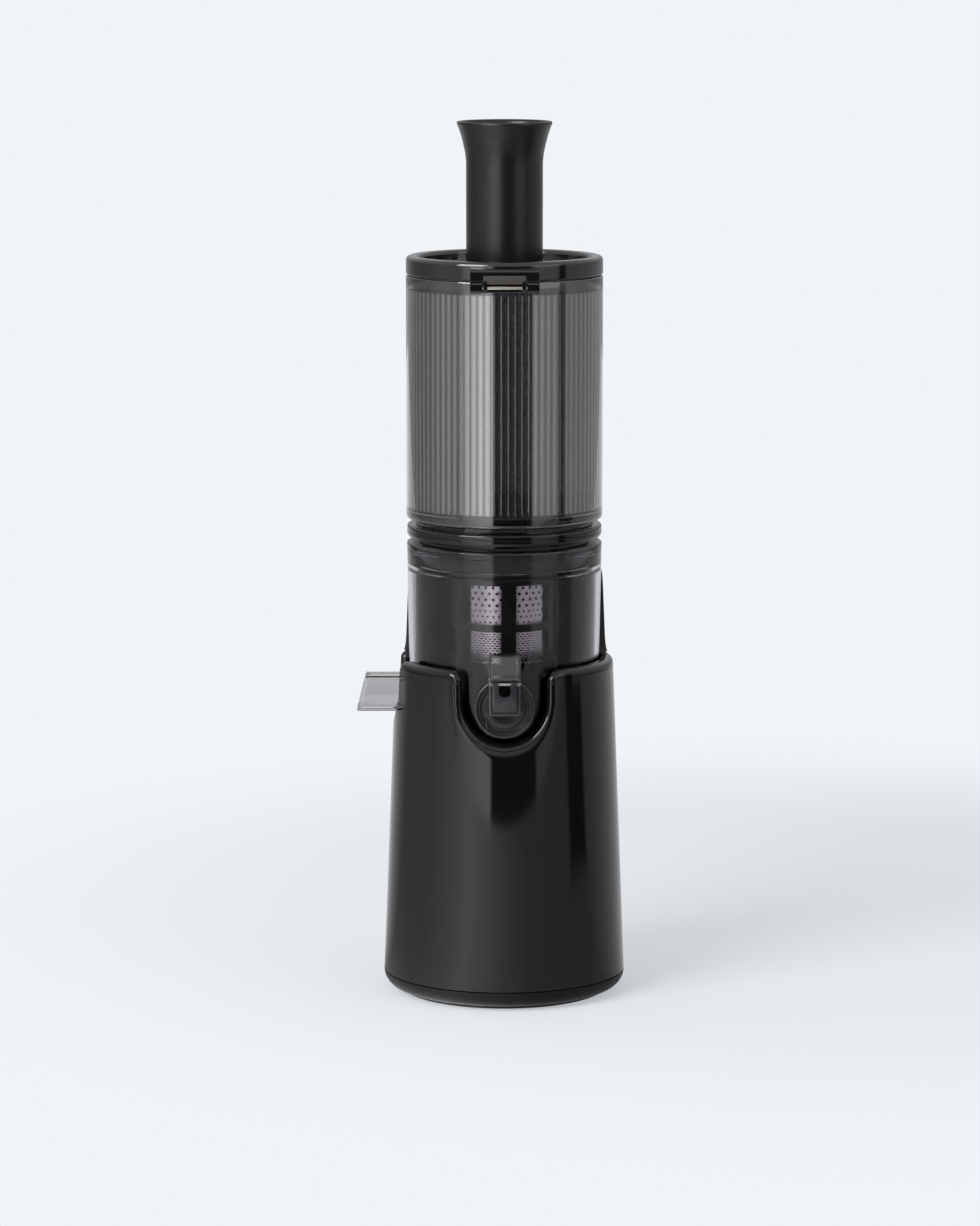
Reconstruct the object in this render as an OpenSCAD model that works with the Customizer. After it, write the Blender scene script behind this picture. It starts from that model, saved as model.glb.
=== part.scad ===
// Slim self-feeding cold press juicer, built as the pieces that it comes apart into.
// Millimetres, +Z up. The origin is on the drive axis, in the plane of the rubber foot.
// The juice spout faces -Y, the pulp spout -X, and the control knob +Y.

/* [Base] */
// Outer radius of the base at its lower seam
base_bottom_r = 75; // [73:0.5:78]
// Width of the rim, from the bowl's seat to the outside of the base
rim_w = 6.8; // [6.4:0.1:8]
// Height of the seam above the bottom cover
seam_z = 12.5; // [12:0.5:14]
// Height of the rim of the bowl seat
rim_z = 209.5; // [206:0.5:213]
// Height of the rim's band above its seam
band_h = 4.5; // [3.5:0.5:6]
// Radius of the rim's rounded edge
rim_edge_r = 3.6; // [1:0.2:3.6]
// Wall of the base shell
shell_wall = 3; // [2:0.1:3.2]
// Wall of the bowl seat's cup
seat_wall = 2.4; // [1.6:0.1:2.6]
// Height of the deck that the bowl stands on
deck_z = 163; // [161:0.5:164]
// Thickness of the deck
deck_t = 3; // [2.5:0.5:4]
// Top of the wall that rises behind the bowl
back_wall_z = 268; // [240:1:270]
// Angle from the rear to the back wall's right end
back_wall_right = 77; // [60:1:80]
// Angle from the rear to the back wall's left end
back_wall_left = 72; // [60:1:72]
// Thickness of the bottom cover's floor
cover_t = 2.6; // [2:0.2:3]

/* [Foot] */
// Height of the rubber foot ring
foot_h = 3; // [2.5:0.5:4]
// Outer radius of the rubber foot ring
foot_r = 64; // [62:0.5:66]
// Width of the rubber foot ring
foot_w = 8; // [5:0.5:10]
// Depth of the foot's groove in the bottom cover
foot_groove = 1; // [0.6:0.1:1.2]

/* [Scoops in the base's rim] */
// Radius of the front scoop at the bowl
front_scoop_r = 26; // [24:0.5:27]
// Lowest point of the front scoop at the bowl
front_scoop_z = 165.5; // [165:0.5:167]
// Radius of the left scoop at the bowl
left_scoop_r = 16.5; // [16.5:0.1:17]
// Lowest point of the left scoop at the bowl
left_scoop_z = 172.5; // [171:0.5:172.5]
// Width that the bevel adds to the front scoop at the outer face
front_bevel = 9; // [4:0.5:10]
// Width that the bevel adds to the left scoop at the outer face
left_bevel = 4; // [2:0.5:4]
// Radius of the corners where a scoop meets the rim
scoop_corner_r = 8; // [3:0.5:10]

/* [Bowl] */
// Outer radius of the bowl under its flange
bowl_top_r = 60.2; // [59.6:0.1:60.6]
// How much narrower the bowl is at its floor
bowl_taper = 2; // [1.6:0.1:2.6]
// Wall of the bowl
bowl_wall = 2.8; // [2:0.1:3]
// Thickness of the bowl's floor
bowl_floor_t = 3; // [2.6:0.2:4]
// Top of the bowl's flange
bowl_top_z = 281.5; // [280:0.5:283]
// Height of the bowl's flange
bowl_flange_h = 4; // [3:0.5:5]
// Gap between the bowl and the back wall
bowl_gap = 0.6; // [0.4:0.1:0.8]

/* [Juice spout] */
// Outer width of the juice spout
juice_w = 19.5; // [18:0.5:21]
// Lower face of the juice spout
juice_z = 184.5; // [184:0.5:186]
// Outer height of the juice spout's mouth
juice_h = 23.5; // [22:0.5:25]
// Distance from the drive axis to the juice spout's mouth
juice_reach = 78; // [75:0.5:84]
// Wall of both spouts
spout_wall = 1.8; // [1.4:0.1:2.2]
// Outer radius of the round outlet cap
cap_r = 18.5; // [17.5:0.5:19]
// Height of the outlet cap's centre
cap_z = 187.5; // [187:0.5:188]
// Distance from the drive axis to the cap's face
cap_reach = 68; // [66:0.5:69]

/* [Pulp spout] */
// Outer width of the pulp spout
pulp_w = 22; // [20:0.5:22]
// Lower face of the pulp spout
pulp_z = 176; // [176:0.5:178]
// Outer height of the pulp spout
pulp_h = 22; // [18:0.5:24]
// Distance from the drive axis to the pulp spout's lower lip
pulp_reach = 91.5; // [86:0.5:96]
// How far the pulp spout's upper lip stays behind the lower one
pulp_slant = 5.5; // [0:0.5:8]
// Radius of the pulp spout's rounded corners
spout_corner_r = 3; // [3:0.1:3.4]

/* [Strainer and auger] */
// Outer radius of the strainer's frame
strainer_r = 32.5; // [32:0.1:33]
// Thickness of the strainer's frame
strainer_wall = 2.7; // [2.2:0.1:3]
// Thickness of the steel mesh
mesh_t = 0.6; // [0.4:0.1:0.8]
// Bottom of the strainer's windows
window_z = 209.5; // [205:0.5:212]
// Top of the strainer's windows
window_top_z = 257.5; // [254:0.5:260]
// Bottom of the ring between the two rows of windows
mid_ring_z = 229; // [226:0.5:232]
// Height of the ring between the two rows of windows
mid_ring_h = 4.5; // [3:0.5:6]
// Width of the strainer's ribs
rib_w = 9; // [5:0.5:11]
// Azimuth of the strainer's front rib, in degrees from the juice spout
strainer_turn = 4.6; // [-10:0.1:10]
// Height of the lug that the lid's hinge hangs from
lip_h = 7; // [3:0.5:9]
// Gap between the auger's flights and the mesh
auger_gap = 0.6; // [0.4:0.1:1]
// Radius of the auger's core
auger_core_r = 17; // [16:0.5:19]
// Top of the auger
auger_top_z = 290; // [286:0.5:292]

/* [Hopper] */
// Outer radius of the hopper
hopper_r = 60.5; // [60:0.1:61]
// Wall of the hopper behind the ribs
hopper_wall = 3; // [2.4:0.1:3.4]
// Height of one rib above the wall
rib_h = 0.9; // [0.5:0.1:1.2]
// Number of ribs round the hopper
rib_count = 90; // [60:1:96]
// Underside of the hopper
hopper_z = 296; // [295:0.5:298]
// Top of the hopper
hopper_top_z = 446; // [400:1:460]
// Height of the plain bands above and below the ribs
plain_band_h = 8; // [6:0.5:10]
// Thickness of the hopper's floor
hopper_floor_t = 4; // [3:0.5:5]
// Radius of the hole in the hopper's floor
feed_hole_r = 36; // [34:0.5:38]
// Outer radius of the hopper's neck
neck_r = 54.5; // [54:0.1:55]
// Outer radius of the lock ring
lock_ring_r = 60.1; // [59.5:0.1:60.6]
// Height of the lock ring
lock_ring_h = 7.5; // [6.5:0.5:8]
// Radius of the lock ring's skirt in the strainer's mouth
skirt_r = 52; // [51.5:0.1:52.4]

/* [Lid] */
// Height of the lid's rim
lid_h = 11; // [9:0.5:13]
// Radius of the lid's opening
lid_opening_r = 52.4; // [50:0.1:53]
// Radius of the lid's rounded upper edge
lid_edge_r = 4; // [2:0.5:4.5]
// Thickness of the lid's inner deck
lid_deck_t = 2.6; // [2:0.2:3.2]
// Width of the hinge's middle knuckle
hinge_mid_w = 26.4; // [22:0.2:30]
// Width of the hinge over its end knuckles
hinge_w = 42; // [38:0.5:46]
// Radius of the hinge pin
hinge_pin_r = 1.25; // [1:0.05:1.4]
// Radius of the hinge's knuckles
knuckle_r = 3.6; // [3.2:0.1:3.7]
// Distance from the drive axis to the hinge pin
hinge_reach = 62.5; // [62.3:0.1:63]

/* [Pusher] */
// Outer radius of the pusher's shaft
pusher_r = 23.5; // [20:0.1:24]
// Outer radius of the pusher's rim
pusher_rim_r = 29.4; // [27:0.1:32]
// Height of the pusher
pusher_h = 91; // [70:1:110]
// Wall of the pusher
pusher_wall = 2.2; // [1.6:0.1:3]
// Gap round the pusher in the lid
pusher_gap = 0.4; // [0.3:0.05:0.6]

/* [Drive] */
// Module of the gears
gear_module = 0.8; // [0.78:0.01:0.8]
// Teeth of each pinion
pinion_teeth = 12; // [11:1:13]
// Teeth of each large gear
gear_teeth = 66; // [60:1:66]
// Thinning of each tooth for its running gap
backlash = 0.34; // [0.3:0.02:0.4]
// Height of the large gears
gear_h = 6; // [5:0.5:6.5]
// Radius of the motor's can
motor_r = 33; // [31:0.5:34]
// Length of the motor's can
motor_h = 54; // [48:1:56]
// Radius of the motor's shaft
motor_shaft_r = 2.5; // [2:0.1:2.6]
// Radius of the output shaft
drive_r = 6; // [5.5:0.1:6.4]
// Height of the hexagon above the deck
hex_h = 21; // [18:0.5:22]

/* [Control] */
// Height of the knob's axis
knob_z = 122; // [118:0.5:126]
// Radius of the control knob
knob_r = 15; // [12:0.5:16]
// Thickness of the control knob
knob_h = 11; // [8:0.5:14]
// Height of the cord gland's axis
gland_z = 28; // [25:0.5:30]
// Radius of the cord gland's bore
gland_bore_r = 3.3; // [2.5:0.1:3.6]

/* [Hidden] */
$fn = 96;

gap = 0.3;          // between pieces that are assembled by hand
fit = 0.05;         // between a shaft and its bush
seam = 0.4;         // open line between two mouldings
eps = 0.01;
far = 200;          // longer than any cut needs to be

gloss_black = "#17171a";
matt_black = "#26262a";
smoke = [0.25, 0.25, 0.29, 0.55];
steel = "#c9c2c0";
rubber_black = "#2b2b2d";

band_z = rim_z - band_h;
seat_r = bowl_top_r + bowl_gap;
base_top_r = seat_r + rim_w;
bowl_bottom_r = bowl_top_r - bowl_taper;
cover_z = foot_h - foot_groove;
bowl_floor_z = deck_z + gap;
bowl_in_z = bowl_floor_z + bowl_floor_t;
shell_in_r = base_r(gland_z) - shell_wall;

// Outer radius of the base's cone at height z
function base_r(z) = base_bottom_r + (base_top_r - base_bottom_r) * (z - seam_z) / (band_z - seam_z);
// Outer radius of the bowl at height z
function bowl_r(z) =
    bowl_bottom_r + (bowl_top_r - bowl_bottom_r) * (z - bowl_floor_z) / (bowl_top_z - bowl_floor_z);
// Points of an arc round [x, y], from angle a0 to a1 in n steps
function arc(x, y, r, a0, a1, n = 6) =
    [for (i = [0:n]) let (a = a0 + (a1 - a0) * i / n) [x + r * cos(a), y + r * sin(a)]];

module ring(outer, inner, h) {
    difference() {
        cylinder(r = outer, h = h);
        translate([0, 0, -1]) cylinder(r = inner, h = h + 2);
    }
}

module spin(points, angle = 360) {
    rotate_extrude(angle = angle) polygon(points);
}

// A block centred on x, from y0 to y1 and z0 to z1
module block(w, y0, y1, z0, z1) {
    translate([-w / 2, y0, z0]) cube([w, y1 - y0, z1 - z0]);
}

// Copies at three places, clear of the idler gear
module at_thirds(r) {
    for (a = [60, 180, 300]) rotate(a) translate([r, 0, 0]) children();
}

// ---- scoops that let the spouts out of the base and up over its rim ----

// The part of a tube between two radii that lies in a U of the given radius
module scoop_slice(u_r, u_z, inner, outer) {
    intersection() {
        difference() {
            translate([0, 0, deck_z - 20]) cylinder(r = outer, h = far, $fn = 64);
            translate([0, 0, deck_z - 21]) cylinder(r = inner, h = far + 2, $fn = 64);
        }
        union() {
            translate([0, 0, u_z]) rotate([90, 0, 0]) cylinder(r = u_r, h = far, $fn = 32);
            block(2 * u_r, -far, 0, u_z, rim_z + 2);
        }
    }
}

// A U-shaped cut that widens outwards. Its corners with the rim are rounded on the sides listed
module scoop(u_r, bottom_z, bevel, sides) {
    u_z = bottom_z + u_r;
    hull() {
        scoop_slice(u_r, u_z, seat_r - 3, seat_r - 2);
        scoop_slice(u_r + bevel, u_z, base_top_r + 3, base_top_r + 4);
    }
    for (side = sides) scoop_corner(side, u_r + bevel / 2);
}

// Rounds the corner between a scoop's edge and the rim
module scoop_corner(side, half_w) {
    difference() {
        translate([side * (half_w + scoop_corner_r / 2 - 1), 0, 0])
            block(scoop_corner_r + 2, -far, -seat_r / 2, rim_z - scoop_corner_r, rim_z + 1);
        translate([side * (half_w + scoop_corner_r), 0, rim_z - scoop_corner_r])
            rotate([90, 0, 0]) cylinder(r = scoop_corner_r, h = far);
    }
}

module scoops() {
    scoop(front_scoop_r, front_scoop_z, front_bevel, [-1, 1]);
    rotate(-90) scoop(left_scoop_r, left_scoop_z, left_bevel, [1]);
}

// ---- base casing ----

pillar_place_r = 54;
pillar_r = 4.5;
screw_r = 1.5;
head_r = 2.8;
head_h = 1.8;
head_sink = 1;      // of the deck's screws
cover_sink = 1.2;   // of the cover's screws
bezel_r = knob_r + 3.5;
bezel_back_y = base_r(knob_z) - shell_wall - 3;
bezel_front_y = base_r(knob_z) + 2;
gland_r = gland_bore_r + 3.2;

module base_shell() {
    top_z = band_z - seam;
    color(gloss_black) difference() {
        spin([
            [base_r(seam_z), seam_z], [base_r(top_z), top_z],
            [base_r(top_z) - shell_wall, top_z], [base_r(seam_z) - shell_wall, seam_z],
        ]);
        scoops();
        translate([0, 0, knob_z]) rotate([-90, 0, 0]) cylinder(r = bezel_r + 0.1, h = far);
        translate([0, 0, gland_z]) rotate([-90, 0, 0]) cylinder(r = gland_r + 0.1, h = far);
    }
}

// Wall behind the bowl: it stands on the rim, flares in and thins out upwards
module back_wall() {
    low_r = seat_r + 4.4;
    top_r = seat_r + 1.8;
    color(gloss_black) difference() {
        rotate(90 - back_wall_right) spin([
            [seat_r, rim_z], [low_r + 1.4, rim_z], [low_r + 0.7, rim_z + 2.5], [low_r + 0.2, rim_z + 5.5],
            [low_r, rim_z + 9], [top_r + 0.4, back_wall_z - 4], [top_r, back_wall_z - 1.5],
            [top_r - 0.5, back_wall_z], [seat_r, back_wall_z],
        ], back_wall_left + back_wall_right);
        back_wall_corner(1, seat_r * cos(back_wall_right));
        back_wall_corner(-1, seat_r * cos(back_wall_left));
    }
}

// Rounds the upper corner at one end of the back wall
module back_wall_corner(side, end_y) {
    corner_r = 14;
    overlap = 0.7;
    translate([side * far / 2, end_y - overlap, back_wall_z - corner_r]) difference() {
        block(far, -corner_r, corner_r, 0, corner_r + 1);
        translate([-far, corner_r, -overlap]) rotate([0, 90, 0]) cylinder(r = corner_r, h = 2 * far);
    }
}

seal_r = drive_r + 3.4;
deck_boss_r = seal_r + 3.5;
deck_boss_h = 10;
sensor_y = 44;
sensor_size = [14, 9, 4];

module bowl_seat() {
    under_z = deck_z - deck_t;
    color(gloss_black) difference() {
        union() {
            spin(concat(
                [[0, under_z], [seat_r + seat_wall, under_z], [seat_r + seat_wall, band_z]],
                [[base_top_r, band_z]],
                arc(base_top_r - rim_edge_r, rim_z - rim_edge_r, rim_edge_r, 0, 90),
                [[seat_r, rim_z], [seat_r, deck_z], [0, deck_z]]));
            translate([0, 0, under_z - deck_boss_h]) cylinder(r = deck_boss_r, h = deck_boss_h + 1);
        }
        scoops();
        translate([0, 0, under_z - deck_boss_h - 1]) cylinder(r = seal_r, h = far);
        at_thirds(pillar_place_r) translate([0, 0, under_z - 1]) cylinder(r = screw_r + 0.2, h = 10);
        at_thirds(pillar_place_r) translate([0, 0, deck_z - head_sink])
            cylinder(r = head_r + gap, h = head_sink + 1);
    }
}

module bottom_cover() {
    edge_r = seam_z - seam - cover_z;
    wall = cover_t;
    color(matt_black) difference() {
        spin(concat(
            [[0, cover_z]],
            arc(base_bottom_r - edge_r, cover_z + edge_r, edge_r, -90, 0),
            [[base_bottom_r - wall, cover_z + edge_r]],
            arc(base_bottom_r - edge_r, cover_z + edge_r, edge_r - wall, 0, -90),
            [[0, cover_z + cover_t]]));
        translate([0, 0, cover_z - 1])
            ring(foot_r + 0.1, foot_r - foot_w - 0.1, foot_groove + 1);
        for (a = [0:30:330]) rotate(a) translate([18, -1.6, 0]) cube([24, 3.2, 10]);
        at_thirds(pillar_place_r - 1) cylinder(r = screw_r + 0.2, h = 10);
        at_thirds(pillar_place_r - 1) translate([0, 0, cover_z - 1])
            cylinder(r = head_r + gap, h = 1 + cover_sink);
    }
}

module foot_ring() {
    color(rubber_black) ring(foot_r, foot_r - foot_w, foot_h);
}

// ---- chassis, motor and gearbox ----

motor_z = 24;
motor_top_z = motor_z + motor_h;
cap_t = 3;
damper_t = 2;
plate_z = motor_top_z + cap_t + damper_t;
plate_t = 3;
box_z = plate_z + plate_t;
box_floor_t = 2.5;
box_h = 25;
box_cover_t = 3;
centre_distance = gear_module * (pinion_teeth + gear_teeth) / 2;
gear_tip_r = gear_module * (gear_teeth / 2 + 1);
box_in_r = gear_tip_r + 1.1;
box_r = box_in_r + 2.4;
stage_1_z = box_z + box_floor_t + 1.2;
stage_2_z = stage_1_z + gear_h + 2;
idler_axle_r = 2.5;
motor_screw_r = 22;
board_y = 47;
board_w = 42;
board_h = 60;
board_t = 1.6;
board_screw_x = 14;

module chassis() {
    bottom_z = cover_z + cover_t + gap;
    top_z = deck_z - deck_t;
    color(matt_black) difference() {
        union() {
            at_thirds(pillar_place_r) translate([0, 0, bottom_z])
                cylinder(r = pillar_r, h = top_z - bottom_z);
            translate([0, 0, plate_z]) cylinder(r = pillar_place_r + 1, h = plate_t);
            for (x = [-1, 1] * board_screw_x) translate([x, 0, 0])
                block(6, board_y - 3.6, board_y - eps, plate_z - 12, plate_z + 1);
        }
        translate([0, 0, plate_z - 1]) cylinder(r = 9, h = plate_t + 2);
        at_thirds(pillar_place_r) translate([0, 0, top_z - 12]) cylinder(r = screw_r + 0.1, h = 20);
        at_thirds(pillar_place_r - 1) translate([0, 0, bottom_z - 1]) cylinder(r = screw_r + 0.1, h = 14);
        rotate(30) at_thirds(motor_screw_r) translate([0, 0, plate_z - 1]) cylinder(r = screw_r + 0.2, h = 9);
        at_box_screws() translate([0, 0, plate_z - 1]) cylinder(r = screw_r + 0.1, h = 9);
        board_holes();
    }
}

module motor_can() {
    color(steel) translate([0, 0, motor_z]) ring(motor_r, motor_r - 1.6, motor_h);
}

module stator() {
    slot_r = motor_r - 9;
    color("#8c5a38") translate([0, 0, motor_z + 8]) difference() {
        cylinder(r = motor_r - 1.65, h = motor_h - 16);
        translate([0, 0, -1]) cylinder(r = 19, h = motor_h);
        for (a = [0:45:315]) rotate(a) translate([slot_r - 3.2, 0, -1]) cylinder(r = 2.8, h = motor_h);
    }
}

bush_r = motor_shaft_r + 2.5;

module motor_cap(z) {
    color(steel) translate([0, 0, z]) difference() {
        cylinder(r = motor_r, h = cap_t);
        translate([0, 0, -1]) cylinder(r = bush_r, h = cap_t + 2);
        rotate(30) at_thirds(motor_screw_r) translate([0, 0, -1]) cylinder(r = screw_r + 0.1, h = cap_t + 2);
        for (a = [0:60:300]) rotate(a) translate([14, 0, -1]) cylinder(r = 3.4, h = cap_t + 2);
    }
}

module motor_lower_cap() {
    motor_cap(motor_z - cap_t);
}

module motor_upper_cap() {
    motor_cap(motor_top_z);
}

module motor_bushes() {
    color("#b08d4f") for (z = [motor_z - cap_t, motor_top_z])
        translate([0, 0, z]) ring(bush_r, motor_shaft_r + fit, cap_t);
}

module motor_dampers() {
    color(rubber_black) rotate(30) at_thirds(motor_screw_r)
        translate([0, 0, plate_z - damper_t]) ring(4.5, screw_r + 0.2, damper_t);
}

module at_idler() {
    translate([centre_distance, 0, 0]) children();
}

// Two places beside each gear, outside the gearbox's walls
module at_box_screws() {
    for (a = [110, 250]) rotate(a) translate([box_r + 2.6, 0, 0]) children();
    at_idler() for (a = [-70, 70]) rotate(a) translate([box_r + 2.6, 0, 0]) children();
}

module box_outline(r) {
    circle(r = r);
    at_idler() circle(r = r);
}

module gearbox_housing() {
    color(matt_black) translate([0, 0, box_z]) difference() {
        union() {
            linear_extrude(box_h) box_outline(box_r);
            at_box_screws() cylinder(r = 3.8, h = box_h);
        }
        translate([0, 0, box_floor_t]) linear_extrude(box_h) box_outline(box_in_r);
        translate([0, 0, -1]) cylinder(r = motor_shaft_r + 0.6, h = far);
        at_idler() translate([0, 0, box_floor_t - 1.5]) cylinder(r = idler_axle_r + 0.02, h = far);
        at_box_screws() translate([0, 0, -1]) cylinder(r = screw_r + 0.2, h = far);
        rotate(30) at_thirds(motor_screw_r) translate([0, 0, -1]) cylinder(r = 3.1, h = far);
    }
}

box_top_z = box_z + box_h;

module gearbox_cover() {
    color(matt_black) translate([0, 0, box_top_z]) difference() {
        union() {
            linear_extrude(box_cover_t) box_outline(box_r);
            at_box_screws() cylinder(r = 3.8, h = box_cover_t);
            cylinder(r = deck_boss_r, h = box_cover_t + 8);
            at_idler() translate([0, 0, -4]) cylinder(r = 5, h = 5);
        }
        translate([0, 0, -5]) cylinder(r = seal_r, h = far);
        at_idler() translate([0, 0, -5]) cylinder(r = idler_axle_r + 0.02, h = 6);
        at_box_screws() translate([0, 0, -1]) cylinder(r = screw_r + 0.2, h = far);
    }
}

module output_bushes() {
    lower_z = box_top_z;
    upper_z = deck_z - deck_t - deck_boss_h;
    color("#b08d4f") for (z = [lower_z, upper_z])
        translate([0, 0, z]) ring(seal_r, drive_r + fit, deck_boss_h);
}

module idler_axle() {
    z0 = box_z + box_floor_t - 1.5;
    color(steel) at_idler() translate([0, 0, z0]) cylinder(r = idler_axle_r, h = box_top_z + 1 - z0);
}

module deck_seal() {
    color(rubber_black) translate([0, 0, deck_z - deck_t]) ring(seal_r, drive_r + fit, deck_t);
}

module board_holes() {
    for (x = [-1, 1] * board_screw_x)
        translate([x, board_y - 8, plate_z - 7]) rotate([-90, 0, 0]) cylinder(r = 1.1, h = 20);
}

module control_board() {
    color("#1f5a34") difference() {
        block(board_w, board_y, board_y + board_t, plate_z - 2 - board_h, plate_z - 2);
        board_holes();
    }
}

// Capacitor, relay and connector, all standing on the board
module capacitor() {
    y = board_y + board_t;
    low_z = plate_z - board_h;
    color("#3a4f86") {
        translate([board_w / 3, y, low_z + 22]) rotate([-90, 0, 0])
            cylinder(r = board_w / 7, h = board_w / 4);
        translate([-board_w / 3.5, 0, 0]) block(board_w / 2.6, y, y + 7.4, low_z + 15, low_z + 29);
        translate([-board_w / 10, 0, 0]) block(board_w / 4, y, y + 3.4, low_z + 37, low_z + 43);
    }
}

module bowl_sensor() {
    color("#3c3c40") translate([0, sensor_y, deck_z - deck_t - sensor_size[2]])
        block(sensor_size[0], -sensor_size[1] / 2, sensor_size[1] / 2, 0, sensor_size[2]);
}

// ---- knob, switch and cord gland ----

spindle_r = 3;

module rear_disc(z, r, y0, y1) {
    translate([0, y0, z]) rotate([-90, 0, 0]) cylinder(r = r, h = y1 - y0);
}

module switch_body() {
    front_y = bezel_back_y;
    color("#3c3c40") difference() {
        block(22, front_y - 20, front_y, knob_z - 11, knob_z + 11);
        rear_disc(knob_z, spindle_r + 0.3, front_y - 12, far);
    }
}

module knob_bezel() {
    color(matt_black) difference() {
        union() {
            rear_disc(knob_z, bezel_r, bezel_back_y, bezel_front_y);
            rear_disc(knob_z, bezel_r + 2, bezel_front_y - 1.1, bezel_front_y);
        }
        rear_disc(knob_z, knob_r + 0.5, bezel_front_y - 3, far);
        rear_disc(knob_z, spindle_r + 0.3, 0, far);
    }
}

module control_knob() {
    y0 = bezel_front_y - 2.6;
    color(matt_black) difference() {
        union() {
            rear_disc(knob_z, knob_r, y0, y0 + knob_h - 5);
            rear_disc(knob_z, spindle_r, bezel_back_y - 11, y0 + 1);
            block(8, y0 + knob_h - 6, y0 + knob_h, knob_z - knob_r + 1, knob_z + knob_r - 1);
        }
        block(1.2, y0 + knob_h - 0.6, far, knob_z + knob_r - 8, knob_z + knob_r);
    }
}

module cord_gland() {
    y_out = base_r(gland_z) + 12;
    color(rubber_black) difference() {
        union() {
            rear_disc(gland_z, gland_r, base_r(gland_z) - shell_wall - 3, base_r(gland_z) + 3);
            rear_disc(gland_z, gland_r + 2.4, base_r(gland_z) + 0.5, base_r(gland_z) + 3);
            rear_disc(gland_z, gland_r - 1.2, base_r(gland_z) + 2, y_out);
            rear_disc(gland_z, gland_r + 2, shell_in_r - 4, shell_in_r - 2);
        }
        rear_disc(gland_z, gland_bore_r, 0, far);
    }
}

// ---- fasteners ----

module screw(length, high = head_h) {
    spin([[0, -high], [head_r, -high], [head_r, -eps], [screw_r, -eps], [screw_r, length], [0, length]]);
}

module cover_screws() {
    color(steel) at_thirds(pillar_place_r - 1) translate([0, 0, cover_z + cover_sink])
        screw(12, cover_sink - 0.1);
}

module motor_screws() {
    color(steel) rotate(30) at_thirds(motor_screw_r)
        translate([0, 0, box_z]) mirror([0, 0, 1]) screw(plate_t + damper_t + cap_t);
}

module gearbox_screws() {
    color(steel) at_box_screws()
        translate([0, 0, box_top_z + box_cover_t]) mirror([0, 0, 1]) screw(box_h + box_cover_t + plate_t);
}

module deck_screws() {
    color(steel) at_thirds(pillar_place_r)
        translate([0, 0, deck_z - head_sink + 2 * eps]) mirror([0, 0, 1]) screw(12, head_sink - 0.1);
}

// ---- gears and rotors ----

pressure_angle = 25;

// One flank point of an involute tooth, at radius r: the half angle that the tooth covers there
function involute(a) = tan(a) * 180 / PI - a;
function half_tooth(r, pitch_r, teeth, thin) =
    let (base = pitch_r * cos(pressure_angle))
    let (a = r > base ? acos(base / r) : 0)
    90 / teeth - thin / 2 / pitch_r * 180 / PI + involute(pressure_angle) - involute(a);

function tooth_points(pitch_r, teeth, root_r, tip_r, thin) =
    [for (side = [-1, 1]) for (i = [0:4])
        let (k = side < 0 ? i : 4 - i)
        let (r = root_r + (tip_r - root_r) * k / 4)
        let (a = side * half_tooth(r, pitch_r, teeth, thin))
        [r * cos(a), r * sin(a)]];

module gear_outline(teeth, addendum) {
    pitch_r = gear_module * teeth / 2;
    root_r = pitch_r - 1.15 * gear_module;
    tip_r = pitch_r + addendum * gear_module;
    polygon([for (t = [0:teeth - 1]) for (p = tooth_points(pitch_r, teeth, root_r, tip_r, backlash / 2))
        let (a = 360 * t / teeth)
        [p[0] * cos(a) - p[1] * sin(a), p[0] * sin(a) + p[1] * cos(a)]]);
}

// Turn that puts a space of the idler's gear where the motor's pinion has a tooth
idler_turn = 180 + 180 / gear_teeth;

module gear(teeth, h, addendum, bore) {
    difference() {
        linear_extrude(h) gear_outline(teeth, addendum);
        if (bore > 0) translate([0, 0, -1]) cylinder(r = bore, h = h + 2);
    }
}

module idler_gear() {
    color("#d9d6c8") at_idler() translate([0, 0, stage_1_z]) difference() {
        union() {
            rotate(idler_turn) gear(gear_teeth, gear_h, 0.8, 0);
            translate([0, 0, gear_h - 0.5]) rotate(180) linear_extrude(gear_h + 4.5)
                gear_outline(pinion_teeth, 0.9);
        }
        translate([0, 0, -1]) cylinder(r = idler_axle_r + fit, h = far);
    }
}

module output_gear() {
    color("#d9d6c8") translate([0, 0, stage_2_z + 1]) rotate(180 / gear_teeth)
        gear(gear_teeth, gear_h, 0.8, drive_r + eps);
}

module drive_shaft() {
    z0 = stage_2_z + 0.6;
    color(steel) translate([0, 0, z0]) {
        cylinder(r = drive_r, h = deck_z + 1 - z0);
        cylinder(r = drive_r, h = deck_z + hex_h - z0, $fn = 6);
    }
}

module motor_shaft() {
    z0 = 10;
    color(steel) translate([0, 0, z0]) cylinder(r = motor_shaft_r, h = stage_1_z + gear_h + 0.4 - z0);
    color(steel) translate([0, 0, stage_1_z - 0.5]) linear_extrude(gear_h + 0.9)
        gear_outline(pinion_teeth, 0.9);
}

module rotor_core() {
    color("#7d7a78") translate([0, 0, motor_z + 6]) difference() {
        cylinder(r = 18.2, h = motor_h - 12);
        translate([0, 0, -1]) cylinder(r = motor_shaft_r + eps, h = motor_h);
        for (a = [0:30:330]) rotate(a) translate([18.4, 0, -1]) cylinder(r = 1.4, h = motor_h);
    }
}

module cooling_fan() {
    color("#d9d6c8") translate([0, 0, 11]) difference() {
        union() {
            cylinder(r = 8, h = 7);
            cylinder(r = 26, h = 1.4);
            for (a = [0:40:320]) rotate(a) translate([6, -0.7, 0]) cube([20, 1.4, 7]);
        }
        translate([0, 0, -1]) cylinder(r = motor_shaft_r + eps, h = 20);
    }
}

// ---- bowl, spouts and strainer ----

boss_r = drive_r + 5.6;
boss_top_z = deck_z + 13;
flap_pin_r = 0.9;
flap_pin_y = -juice_reach + 2.6;
flap_pin_z = juice_z + juice_h - spout_wall - 2.4;
neck_rise = 12.5;
ledge_z = 268;
basket_r = bowl_r(ledge_z) - bowl_wall - gap;

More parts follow.
